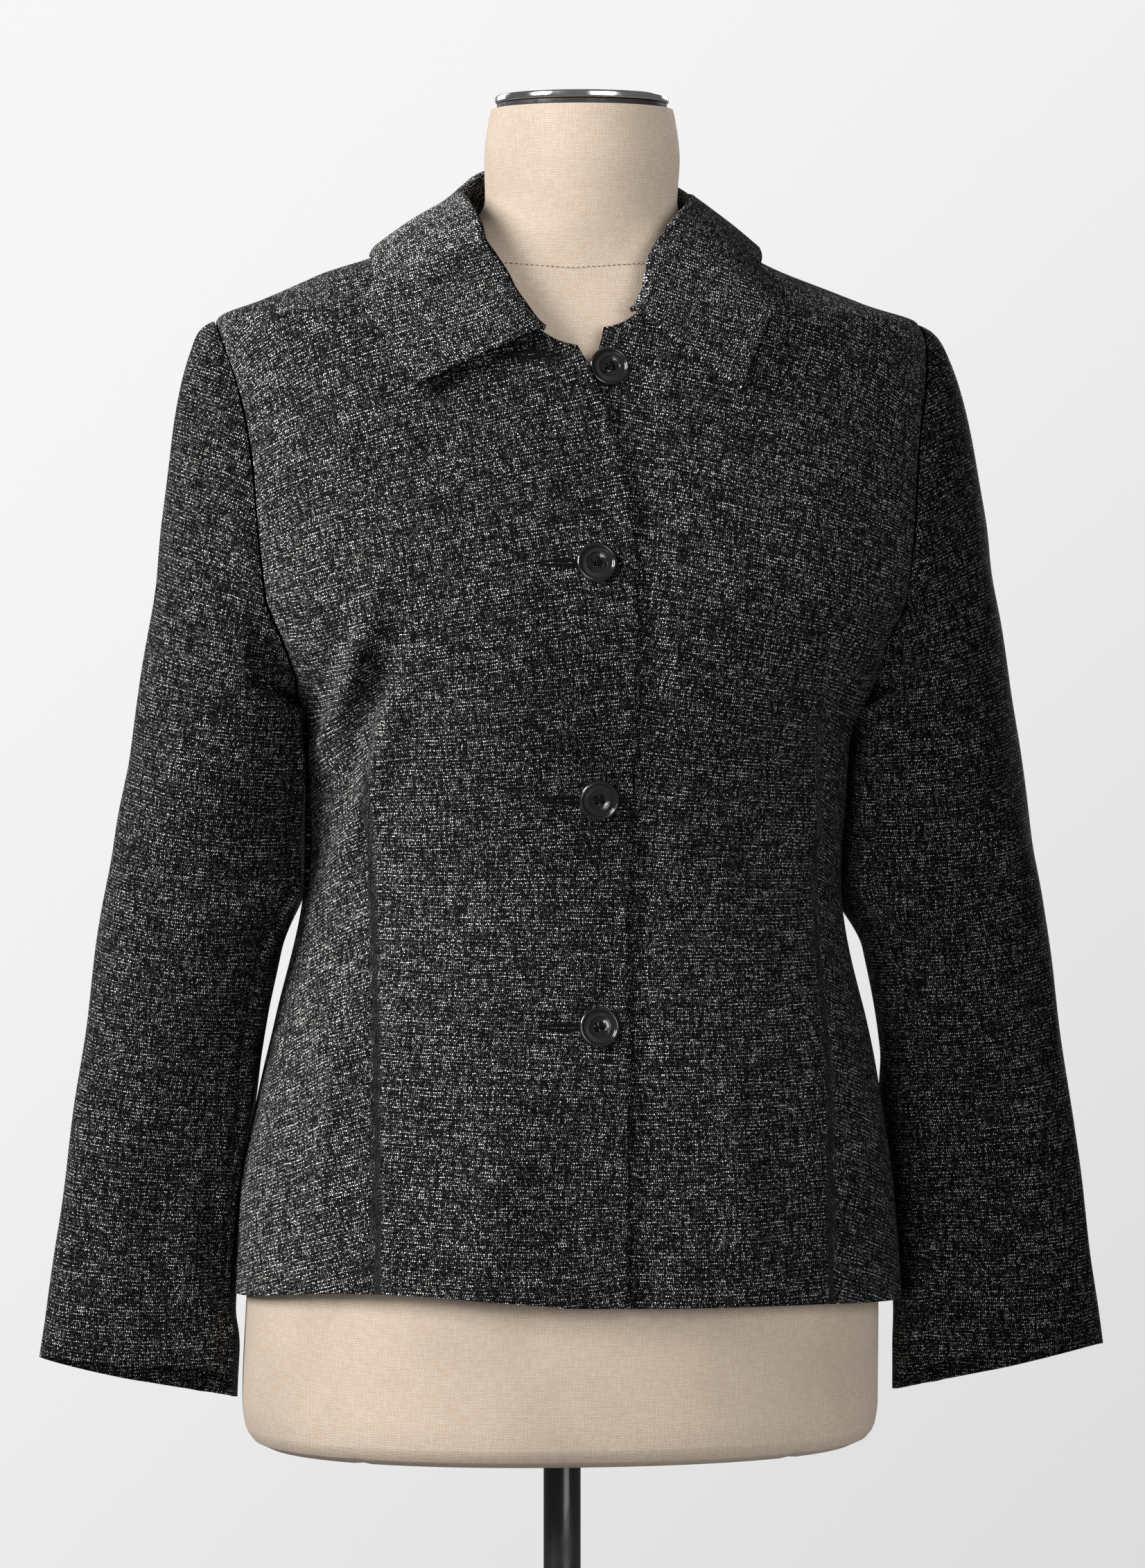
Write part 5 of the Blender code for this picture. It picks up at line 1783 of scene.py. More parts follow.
@dataclass
class Collar(ClothPiece):
    """Collar: a stand from the neckline, a tight roll, and a fall over the shoulder."""

    half_turns: int = 92
    stand_steps: int = 8
    roll_steps: int = 10
    fall_steps: int = 30
    edge_round: float = 0.0012
    roll_radius: float = 0.0023
    end_radius: float = 0.0014
    end_stand: float = 0.1
    end_inset: float = -0.15
    end_lift: float = 0.0003
    end_fade: float = math.radians(22.0)
    left_fade: float = math.radians(40.0)
    end_thin: float = math.radians(9.0)
    fall_clear: float = 0.0036
    edge_curl: float = 0.0018
    clear_rounds: int = 3
    fall_belly: float = 0.0015
    neck_clear: float = 0.0005
    foot_lift: float = 0.0008
    ripple: float = 0.0003
    ripple_start: float = 2.0
    thick_start: float = 5.0

    def lines(self, cut: JacketCut, turn: Array, side: Side) -> Array:
        """Middle of the collar's wall, from the neckline up, over and down.

        Args:
            cut: the shared borders.
            turn: turns round the neck in plan.
            side: side of the wearer.

        Returns:
            Places, a row for each turn.
        """
        sign, step = side.value, 1e-3
        row = read_table(COLLAR_ROWS, COLLAR_COLUMNS, np.degrees(turn))
        before, foot, after = (
            cut.shell.point(*cut.neckline(turn + shift, side), sign) for shift in (-step, 0.0, step)
        )
        round_neck = unit(after - before)
        edge_turn = np.radians(row["edge_turn"] + sign * row["twist"])
        edge = cut.shell.point(edge_turn, row["edge_height"], sign)
        out = cut.shell.normal(edge_turn, row["edge_height"], sign)
        edge = edge + out * (self.fall_clear + self.edge_curl + self.thick / 2)
        plan = np.stack([sign * np.sin(turn), -np.cos(turn), np.zeros_like(turn)], axis=-1)
        rise = np.array([0.0, 0.0, 1.0]) - plan * row["lean"][:, None]
        rise = unit(square_to(rise, round_neck))
        outward = unit(square_to(square_to(plan, rise), round_neck))
        fade = self.left_fade if side is Side.LEFT else self.end_fade
        full = smooth_step((turn - cut.collar_end) / fade)
        inset = (cut.seam_gap + self.thick / 2) * (self.end_inset + (1 - self.end_inset) * full)
        lift = self.foot_lift + self.end_lift * (1 - full)
        foot = foot - plan * inset[:, None] + rise * lift[:, None]
        share = np.linspace(0, 1, self.stand_steps + 1)[None, :, None]
        tall = row["stand"] * (self.end_stand + (1 - self.end_stand) * full)
        stand = foot[:, None] + rise[:, None] * tall[:, None, None] * share
        for _ in range(self.clear_rounds):
            stand = cut.form.push_clear(stand, self.thick / 2 + self.neck_clear)
        a = np.linspace(0, math.pi, self.roll_steps + 1)[None, 1:, None]
        radius = (self.end_radius + (self.roll_radius - self.end_radius) * full)[:, None, None]
        roll = stand[:, -1:] + radius * (outward[:, None] * (1 - np.cos(a)) + rise[:, None] * np.sin(a))
        start = roll[:, -1:]
        belly = (start + edge[:, None]) / 2 + (outward + rise)[:, None] * self.fall_belly
        t = np.linspace(0, 1, self.fall_steps + 1)[None, 1:, None]
        fall = start * (1 - t) ** 2 + belly * 2 * t * (1 - t) + edge[:, None] * t * t
        for _ in range(self.clear_rounds):
            fall = cut.shell.push_clear(fall, self.thick / 2 + self.fall_clear)
        return np.concatenate([stand, roll, fall], axis=1)

    def build(self, cut: JacketCut) -> None:
        """Shape the collar and lay its cloth.

        Args:
            cut: the shared borders.
        """
        half = np.linspace(cut.collar_end, math.pi, self.half_turns + 1)
        right, left = self.lines(cut, half, Side.RIGHT), self.lines(cut, half[::-1][1:], Side.LEFT)
        points = np.concatenate([right, left])
        grid = ClothGrid(points, unit(np.cross(even_tangent(points, 0), even_tangent(points, 1))))
        past_roll = np.arange(points.shape[1]) - self.stand_steps - self.roll_steps
        fall = np.clip(past_roll / self.fall_steps, 0, 1)
        grid.raise_by(soft_ripple(points, self.ripple) * smooth_step(fall * self.ripple_start))
        flat = self.lay(grid, (self.half_turns // 2, self.half_turns * 3 // 2, points.shape[1] // 2))
        from_end = smooth_step((np.concatenate([half, half[::-1][1:]]) - cut.collar_end) / self.end_thin)
        full = np.maximum(from_end[:, None], smooth_step(fall * self.thick_start)[None, :])
        wall = self.obj.vertex_groups.new(name="wall")
        for number, weight in enumerate(full[self.where]):
            wall.add([number], float(weight), "REPLACE")
        self.finish_shell(flat)


@dataclass
class DressForm:
    """Linen covered torso and neck, with its sewn seams."""

    body: SectionStack = SectionStack(FORM_SECTIONS)
    sides: int = 150
    rings: int = 240
    groove: float = 0.0009
    groove_half_width: float = 0.0018
    socket_radius: float = 0.0116
    socket_top: float = 0.76
    princess_x: Pair = (0.1335, 0.143)
    princess_heights: Pair = (0.7, 0.79)
    princess_width: float = 0.1868
    seams_end: float = 1.36
    seams_fade: float = 0.05
    mean_radius: float = 0.17
    end_step: float = 0.002
    neck_seam: tuple[Pair, ...] = ((0.0, 1.389), (0.7, 1.3965), (1.57, 1.415), (3.1416, 1.426))
    seam_steps: int = 721
    stitch_pitch: float = 0.003
    stitch_length: float = 0.0019
    stitch_radius: float = 0.00028

    def build(self) -> list[Object]:
        """Model the body and the stitches of its neck seam.

        Returns:
            The body and its stitches.
        """
        return [self.body_mesh(), self.neck_stitches()]

    def seam_height(self, turn: Array) -> Array:
        """Height of the neck seam round the form."""
        folded = np.abs(wrapped(turn))
        knots, heights = zip(*self.neck_seam)
        return curve_through(knots, heights, folded)

    def body_mesh(self) -> Object:
        """Model the body with grooves along its seams.

        Returns:
            The closed body.
        """
        base, top = FORM_SECTIONS[0][0], FORM_SECTIONS[-1][0]
        knots = [row[0] for row in FORM_SECTIONS]
        extra = np.linspace(base, top, self.rings - len(knots))
        height = np.unique(np.round(np.concatenate([extra, knots]), 6))[:, None]
        turn = np.linspace(-math.pi, math.pi, self.sides + 1)[None, :]
        points = self.body.point(turn, height)
        normals = self.body.normal(turn, np.clip(height, base + self.end_step, top - self.end_step), 1)
        beside = np.abs(points[..., 0] - self.body.middle(points[..., 2]))
        wide = self.body.read(points[..., 2])["half_width"]
        princess = np.interp(points[..., 2], self.princess_heights, self.princess_x)
        princess = princess / self.princess_width * wide
        round_way = np.abs(wrapped(turn)) * self.mean_radius
        below_neck = smooth_step((self.seams_end - points[..., 2]) / self.seams_fade)
        lines = [
            (beside - princess, below_neck),
            (np.broadcast_to(round_way - math.pi / 2 * self.mean_radius, wide.shape), below_neck),
            (np.where(points[..., 1] > 0, beside, 1.0), below_neck),
            (points[..., 2] - self.seam_height(turn), 1.0),
        ]
        depth = sum(weight * self.groove * bell(off, self.groove_half_width) for off, weight in lines)
        points = points - normals * depth[..., None]
        ring = np.stack([np.sin(turn[0]), -np.cos(turn[0]), 0 * turn[0]], axis=-1) * self.socket_radius
        socket = [ring + np.array([0.0, 0.0, z]) for z in (self.socket_top, base)]
        points = np.concatenate([np.stack(socket), points])
        made, row, column = grid_mesh("linen_form", points)
        run = run_length(points, 1)
        middle = run[:, self.sides // 2][:, None]
        climb = run_length(points[:, self.sides // 2], 0)
        flat = np.stack([run - middle, np.broadcast_to(climb[:, None], run.shape)], axis=-1)
        set_grain(made, flat[row, column])
        bpy.ops.object.mode_set(mode="EDIT")
        bpy.ops.mesh.select_all(action="SELECT")
        bpy.ops.mesh.remove_doubles(threshold=1e-5)
        bpy.ops.mesh.select_all(action="DESELECT")
        bpy.ops.mesh.select_mode(type="EDGE")
        bpy.ops.mesh.select_non_manifold()
        bpy.ops.mesh.edge_face_add()
        bpy.ops.mesh.fill_holes(sides=0)
        bpy.ops.mesh.select_all(action="SELECT")
        bpy.ops.mesh.normals_make_consistent(inside=False)
        bpy.ops.object.mode_set(mode="OBJECT")
        bpy.ops.object.shade_smooth_by_angle(angle=math.radians(60.0))
        return made

    def neck_stitches(self) -> Object:
        """Model the stitches along the neck seam as one joined mesh.

        Returns:
            The stitches.
        """
        turns = np.linspace(-math.pi, math.pi, self.seam_steps)
        line = self.body.point(turns, self.seam_height(turns))
        run = run_length(line, 0)
        starts = np.arange(0.0, run[-1] - self.stitch_pitch, self.stitch_pitch)
        ends = starts + self.stitch_length
        heads, tails = (
            np.stack([np.interp(at, run, line[:, k]) for k in range(3)], axis=-1) for at in (starts, ends)
        )
        return join_strands("form_stitches", np.stack([heads, tails], axis=1), self.stitch_radius)

    def dress(self, made: list[Object], linen: Material, thread: Material) -> None:
        """Give the body and stitches their finishes.

        Args:
            made: the body and its stitches.
            linen: material of the cover.
            thread: material of the stitches.
        """
        body, stitches = made
        wear_finish(body, linen)
        wear_finish(stitches, thread)
        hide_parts("form_body")
        for piece in made:
            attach(piece, "root")


STITCH_STEPS = 5
STRAND_TAPER = (0.35, 0.3)
STRAND_ASKEW = (0.31, 0.17, 0.93)


def join_strands(name: str, paths: Array, radius: float, sides: int = 4) -> Object:
    """Many short strands as one joined mesh, thin at both ends.

    Args:
        name: the new object's name.
        paths: places along each strand, strand by step.
        radius: radius at a strand's middle.
        sides: sides of a strand.

    Returns:
        The joined strands.
    """
    count, steps = paths.shape[:2]
    if steps == 2:
        share = np.linspace(0, 1, STITCH_STEPS)[None, :, None]
        paths = paths[:, :1] * (1 - share) + paths[:, 1:] * share
        steps = STITCH_STEPS
    run = unit(np.gradient(paths, axis=1))
    flat = unit(np.cross(run, np.array(STRAND_ASKEW)))
    other = np.cross(run, flat)
    thin = np.sin(math.pi * (np.arange(steps) + STRAND_TAPER[0]) / (steps - STRAND_TAPER[1]))
    thin = (radius * thin)[None, :, None, None]
    a = np.linspace(0, 2 * math.pi, sides, endpoint=False)[None, None, :, None]
    places = paths[:, :, None] + thin * (flat[:, :, None] * np.cos(a) + other[:, :, None] * np.sin(a))
    number = np.arange(count * steps * sides).reshape(count, steps, sides)
    beside = np.roll(number, -1, 2)
    quads = np.stack([number[:, :-1], beside[:, :-1], beside[:, 1:], number[:, 1:]], axis=-1).reshape(-1, 4)
    ends = np.concatenate([number[:, 0, ::-1], number[:, -1]])
    mesh = bpy.data.meshes.new(name)
    mesh.from_pydata(places.reshape(-1, 3).tolist(), [], quads.tolist() + ends.tolist())
    made = take(add_object(name, mesh))
    bpy.ops.object.shade_smooth()
    return made


@dataclass
class ButtonSet:
    """Four-hole buttons, their thread and the worked buttonholes."""

    radius: float = 0.0115
    sides: int = 64
    foot: float = 0.8
    foot_height: float = 0.001
    rim_height: float = 0.003
    profile: tuple[Pair, ...] = (
        (0.985, 0.00355), (0.945, 0.004), (0.9, 0.0042), (0.855, 0.00405), (0.825, 0.0036),
        (0.8, 0.00285), (0.77, 0.00262), (0.74, 0.0027), (0.6, 0.00285), (0.56, 0.003),
        (0.53, 0.0029), (0.505, 0.00235), (0.48, 0.00215), (0.3, 0.00205),
    )
    hole_radius: float = 0.0013
    hole_spacing: float = 0.0034
    hole_turn: float = math.radians(15.0)
    hole_sides: int = 20
    edge_round: float = 0.00012
    thread_radius: float = 0.00042
    thread_spread: float = 1.3
    thread_steps: int = 9
    thread_low: float = 0.0006
    thread_arch: float = 0.0023
    thread_power: float = 0.6
    thread_crown: float = 0.0002
    places: tuple[tuple[Side, float, float], ...] = (
        (Side.LEFT, 0.0085, 1.3305),
        (Side.RIGHT, -0.003, 1.2175),
        (Side.RIGHT, 0.0, 1.0825),
        (Side.RIGHT, 0.002, 0.953),
    )
    gap: float = 0.0003
    slit_from: float = -0.035
    slit_to: float = -0.003
    slit_half_height: float = 0.0026
    slit_steps: tuple[int, int] = (61, 15)
    slit_end: float = 0.1
    slit_power: float = 0.7
    slit_lift: float = 0.00022
    slit_wall: float = 0.0005
    lip: float = 0.00012
    cut_depth: float = 0.00075
    cut_width: float = 0.16
    whip: float = 0.00006
    whips: int = 26
    top_slit: tuple[float, float, float] = (-0.046, -0.013, 1.3375)
    matt_ring: Pair = (0.545, 0.785)
    matt_level: float = 0.9
    ray_start: float = -1.0
    seat_rays: int = 24

    def button_mesh(self) -> Object:
        """Model one button at the origin, facing +Z.

        Returns:
            The button.
        """
        place = (0, 0, self.rim_height / 2)
        button = add_cylinder("button_blank", self.sides, self.radius, self.rim_height, place)
        rings = ((1.0, self.rim_height), *self.profile)
        pairs = zip(rings, rings[1:])
        inset_cap(button, [((a - b) * self.radius, high - low) for (a, low), (b, high) in pairs])
        inset_cap(button, [((1 - self.foot) * self.radius, self.foot_height)], -1)
        for number in range(4):
            self.cut_hole(button, self.hole_turn + math.pi / 4 + number * math.pi / 2)
        soften_edges(button, self.edge_round, 2, 40.0)
        bpy.ops.object.shade_smooth_by_angle(angle=math.radians(50.0))
        for face in button.data.polygons:
            share = face.center.xy.length / self.radius
            flat = self.matt_ring[0] < share < self.matt_ring[1] and face.normal.z > self.matt_level
            face.material_index = int(flat)
        return button

    @property
    def hole_reach(self) -> float:
        """Distance of a hole from the button's middle."""
        return self.hole_spacing * math.sqrt(2) / 2

    def cut_hole(self, button: Object, angle: float) -> None:
        """Cut one thread hole through a button.

        Args:
            button: the button to cut.
            angle: turn of the hole about the middle.
        """
        reach = self.hole_reach
        place = (reach * math.cos(angle), reach * math.sin(angle), self.rim_height / 2)
        drill = add_cylinder("drill", self.hole_sides, self.hole_radius, 4 * self.rim_height, place)
        cut = button.modifiers.new("hole", "BOOLEAN")
        cut.object = drill
        cut.operation = "DIFFERENCE"
        cut.solver = "EXACT"
        take(button)
        bpy.ops.object.modifier_apply(modifier=cut.name)
        bpy.data.objects.remove(drill, do_unlink=True)

    def thread_mesh(self) -> Object:
        """Model the two stitches that hold one button, at the origin.

        Returns:
            The stitches.
        """
        first, reach = self.hole_turn + math.pi / 4, self.hole_reach
        paths = []
        for turns in ((math.pi / 2, math.pi), (0, -math.pi / 2)):
            for strand in (-1, 0, 1):
                start, end = (
                    Vector((reach * math.cos(first + turn), reach * math.sin(first + turn))) for turn in turns
                )
                aside = (end - start).orthogonal().normalized() * strand
                aside = aside * self.thread_radius * self.thread_spread
                arc = []
                for t in np.linspace(0, 1, self.thread_steps):
                    place = start.lerp(end, float(t)) + aside
                    high = self.thread_low + self.thread_arch * math.sin(math.pi * t) ** self.thread_power
                    arc.append((place.x, place.y, high + self.thread_crown * (1 - abs(strand))))
                paths.append(arc)
        return join_strands("button_thread", np.array(paths), self.thread_radius, sides=8)

    def seat(self, panel: Object, cut: JacketCut, x: float, z: float, radius: float) -> tuple[Vector, Vector]:
        """Place on a front where a flat disc rests on its cloth.

        Args:
            panel: the dressed front.
            cut: the shared borders.
            x: sideways place.
            z: height.
            radius: radius of the disc.

        Returns:
            The seat and the cloth's direction there.
        """
        ahead = Vector((0, 1, 0))
        middle = panel.ray_cast(Vector((x, self.ray_start, z)), ahead)[1]
        turn = cut.shell.turn_at(np.array(x) - cut.shell.middle(np.array(z)), np.array(z))
        normal = Vector(cut.shell.normal(turn, np.array(z), 1))
        rise = 0.0
        for a in np.linspace(0, 2 * math.pi, self.seat_rays, endpoint=False):
            for r in (radius, radius / 2):
                spot = Vector((x + r * math.cos(a), self.ray_start, z + r * math.sin(a)))
                hit, place, _, _ = panel.ray_cast(spot, ahead)
                if hit:
                    rise = max(rise, (place - middle).dot(normal))
        return middle + normal * (rise + self.gap), normal

    def buttonhole(self, name: str, panel: Object, span: Pair, z: float) -> Object:
        """Model one worked buttonhole on the right front.

        Args:
            name: the new object's name.
            panel: the dressed front.
            span: sideways places of its two ends.
            z: its height.

        Returns:
            The buttonhole.
        """
        long_steps, wide_steps = self.slit_steps
        points = np.empty((wide_steps, long_steps, 3))
        for j, t in enumerate(np.linspace(0, 1, long_steps)):
            full = self.slit_end + (1 - self.slit_end) * math.sin(math.pi * t) ** self.slit_power
            half = self.slit_half_height * full
            x = span[0] + (span[1] - span[0]) * t
            for i, s in enumerate(np.linspace(-1, 1, wide_steps)):
                place = panel.ray_cast(Vector((x, self.ray_start, z + half * s)), Vector((0, 1, 0)))[1]
                lip = self.lip * (1 - s * s) ** 0.5 - self.cut_depth * math.exp(-((s / self.cut_width) ** 2))
                whip = self.whip * math.cos(t * 2 * math.pi * self.whips) * (1 - s * s)
                points[i, j] = place + Vector((0, -1, 0)) * (self.slit_lift + lip + whip)
        made = grid_mesh(name, points)[0]
        wall = made.modifiers.new("wall", "SOLIDIFY")
        wall.thickness = self.slit_wall
        wall.offset = -1.0
        apply_modifiers(made)
        bpy.ops.object.shade_smooth()
        return made

    def build(self, cut: JacketCut, panels: dict[Side, Object]) -> dict[str, list[Object]]:
        """Model every button, its thread and its buttonhole.

        Args:
            cut: the shared borders.
            panels: the dressed fronts.

        Returns:
            Buttons, threads and buttonholes by kind.
        """
        made = {"button": [], "thread": [], "hole": []}
        button, thread = self.button_mesh(), self.thread_mesh()
        for number, (side, x, z) in enumerate(self.places, start=1):
            x = x + float(cut.shell.middle(np.array(z)))
            seat, normal = self.seat(panels[side], cut, x, z, self.radius * self.foot)
            turn = Matrix.Translation(seat) @ normal.to_track_quat("Z", "Y").to_matrix().to_4x4()
            for kind, source in (("button", button), ("thread", thread)):
                copy = add_object(f"{kind}_set_{number}", source.data.copy())
                copy.data.transform(turn)
                made[kind].append(copy)
            if side is Side.RIGHT:
                span = (x + self.slit_from, x + self.slit_to)
                made["hole"].append(self.buttonhole(f"buttonhole_{number}", panels[side], span, z))
        first, last, z = self.top_slit
        made["hole"].append(self.buttonhole("buttonhole_1", panels[Side.RIGHT], (first, last), z))
        for source in (button, thread):
            bpy.data.objects.remove(source, do_unlink=True)
        return made

    def dress(self, made: dict[str, list[Object]], faces: tuple[Material, ...], thread: Material) -> None:
        """Give buttons, threads and buttonholes their finishes.

        Args:
            made: the pieces by kind.
            faces: glossy and matt materials of the buttons.
            thread: material of thread and buttonholes.
        """
        for kind, pieces in made.items():
            for number, piece in enumerate(pieces, start=1):
                for finish in faces if kind == "button" else (thread,):
                    piece.data.materials.append(finish)
                if kind == "button":
                    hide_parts(f"button_{number}")
                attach(piece, "root")


@dataclass
class NeckCap:
    """Dark band of painted shade and dark reflection at the foot of the polished metal cap, and the cap, on
    top of the neck.
    """

    centre: Pair = (0.0095, -0.0215)
    seat: float = 1.4853
    band_radius: float = 0.05
    band_height: float = 0.003
    cap_radius: float = 0.051
    cap_height: float = 0.0045
    gap: float = 0.0003
    band_soft: float = 0.0004
    cap_soft: float = 0.0013
    rim_steps: tuple[Pair, ...] = ((0.004, 0.0), (0.0006, -0.0006), (0.018, 0.0004))
    sides: int = 128

    def disc(self, name: str, radius: float, low: float, high: float, soft: float) -> Object:
        """Model a round plate with soft edges.

        Args:
            name: the new object's name.
            radius: its radius.
            low: height of its underside.
            high: height of its top.
            soft: width of the rounding.

        Returns:
            The plate.
        """
        place = (*self.centre, (low + high) / 2)
        plate = add_cylinder(name, self.sides, radius, high - low, place)
        set_place(plate)
        soften_edges(plate, soft, 4, 60.0)
        return plate

    def build(self) -> list[Object]:
        """Model the dark band of painted shade, and the cap with its raised rim.

        Returns:
            The band and the cap.
        """
        band_top = self.seat + self.band_height
        band = self.disc("neck_band_painted_shade", self.band_radius, self.seat, band_top, self.band_soft)
        low = band_top + self.gap
        cap = self.disc("polished_cap", self.cap_radius, low, low + self.cap_height, self.cap_soft)
        inset_cap(cap, self.rim_steps)
        for piece in (band, cap):
            take(piece)
            bpy.ops.object.shade_smooth_by_angle(angle=math.radians(35.0))
        return [band, cap]

    def dress(self, made: list[Object], dark: Material, metal: Material) -> None:
        """Give the band and the cap their finishes.

        Args:
            made: the band and the cap.
            dark: material of the band, a painted shade.
            metal: material of the cap.
        """
        rows = ((dark, "neck_ring", "dark_band"), (metal, "neck_cap", "chrome"))
        for piece, (finish, node, slot) in zip(made, rows):
            wear_finish(piece, finish)
            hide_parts(node)
            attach(piece, "root")


@dataclass
class Stand:
    """Painted pole and plain round foot."""

    pole_radius: float = 0.011
    pole_span: Pair = (0.0053, 0.7597)
    base_radius: float = 0.18
    base_edge: float = 0.006
    base_top: float = 0.014
    boss_radius: float = 0.021
    boss_top: float = 0.045
    bore_radius: float = 0.0113
    bore_floor: float = 0.005
    edge_ease: Pair = (0.005, 0.002)
    boss_foot: Pair = (0.004, 0.003)
    boss_taper: float = 0.002
    boss_flare: float = 0.006
    edge_round: float = 0.0008
    sides: int = 96
    pole_sides: int = 48

    def build(self) -> list[Object]:
        """Model the pole and the foot.

        Returns:
            The pole and the foot.
        """
        low, high = self.pole_span
        place = (0, 0, (low + high) / 2)
        pole = add_cylinder("painted_pole", self.pole_sides, self.pole_radius, high - low, place)
        place = (0, 0, self.base_edge / 2)
        foot = add_cylinder("round_foot", self.sides, self.base_radius, self.base_edge, place)
        set_place(foot)
        slope = self.base_radius - self.boss_radius - self.boss_flare
        ease, ease_rise = self.edge_ease
        flare, flare_rise = self.boss_foot
        steps = (
            (ease, ease_rise),
            (slope - ease, self.base_top - self.base_edge - ease_rise),
            (flare, flare_rise),
            (self.boss_taper, self.boss_top - self.base_top - flare_rise),
            (self.boss_radius - self.bore_radius, 0.0),
            (0.0, self.bore_floor - self.boss_top),
        )
        inset_cap(foot, steps)
        for piece in (pole, foot):
            set_place(piece)
            soften_edges(piece, self.edge_round, 3, 40.0)
            bpy.ops.object.shade_smooth_by_angle(angle=math.radians(35.0))
        return [pole, foot]

    def dress(self, made: list[Object], paint: Material) -> None:
        """Give the pole and the foot their paint.

        Args:
            made: the pole and the foot.
            paint: material of the paint.
        """
        for piece, node in zip(made, ("pole", "base")):
            wear_finish(piece, paint)
            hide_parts(node)
            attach(piece, "root")


def grey(level: float) -> Colour:
    """Colour of one level."""
    return (level, level, level, 1.0)


# Lamps: name, place, width and height, power in watts, pieces lit
LAMPS = (
    ("cloth_key", (-2.45, -1.05, 2.55), (0.8, 1.2), 142.0, "cloth"),
    ("cloth_fill", (-1.2, -3.0, 0.95), (1.6, 1.6), 46.0, "cloth"),
    ("collar_key", (-2.2, -0.3, 2.2), (0.8, 0.8), 150.0, "collar"),
    ("side_key", (-2.75, -0.34, 2.2), (0.7, 0.9), 126.0, "front_right"),
    ("left_fill", (0.3, -3.0, 0.6), (1.4, 1.4), 26.0, "front_left"),
    ("top_fill", (0.3, -0.6, 3.2), (1.2, 1.0), 11.0, "front_left"),
    ("form_key", (-2.4, -1.25, 2.25), (1.1, 1.5), 108.0, "form"),
    ("form_fill", (1.3, -3.4, 1.8), (2.0, 2.0), 76.0, "form"),
    ("back_key", (1.4, 2.8, 2.0), (1.4, 1.6), 64.0, "body"),
    ("rear_right", (1.6, 2.2, 2.4), (1.4, 1.6), 26.0, "all"),
    ("rear_left", (-1.8, 2.4, 2.2), (1.4, 1.6), 26.0, "all"),
)


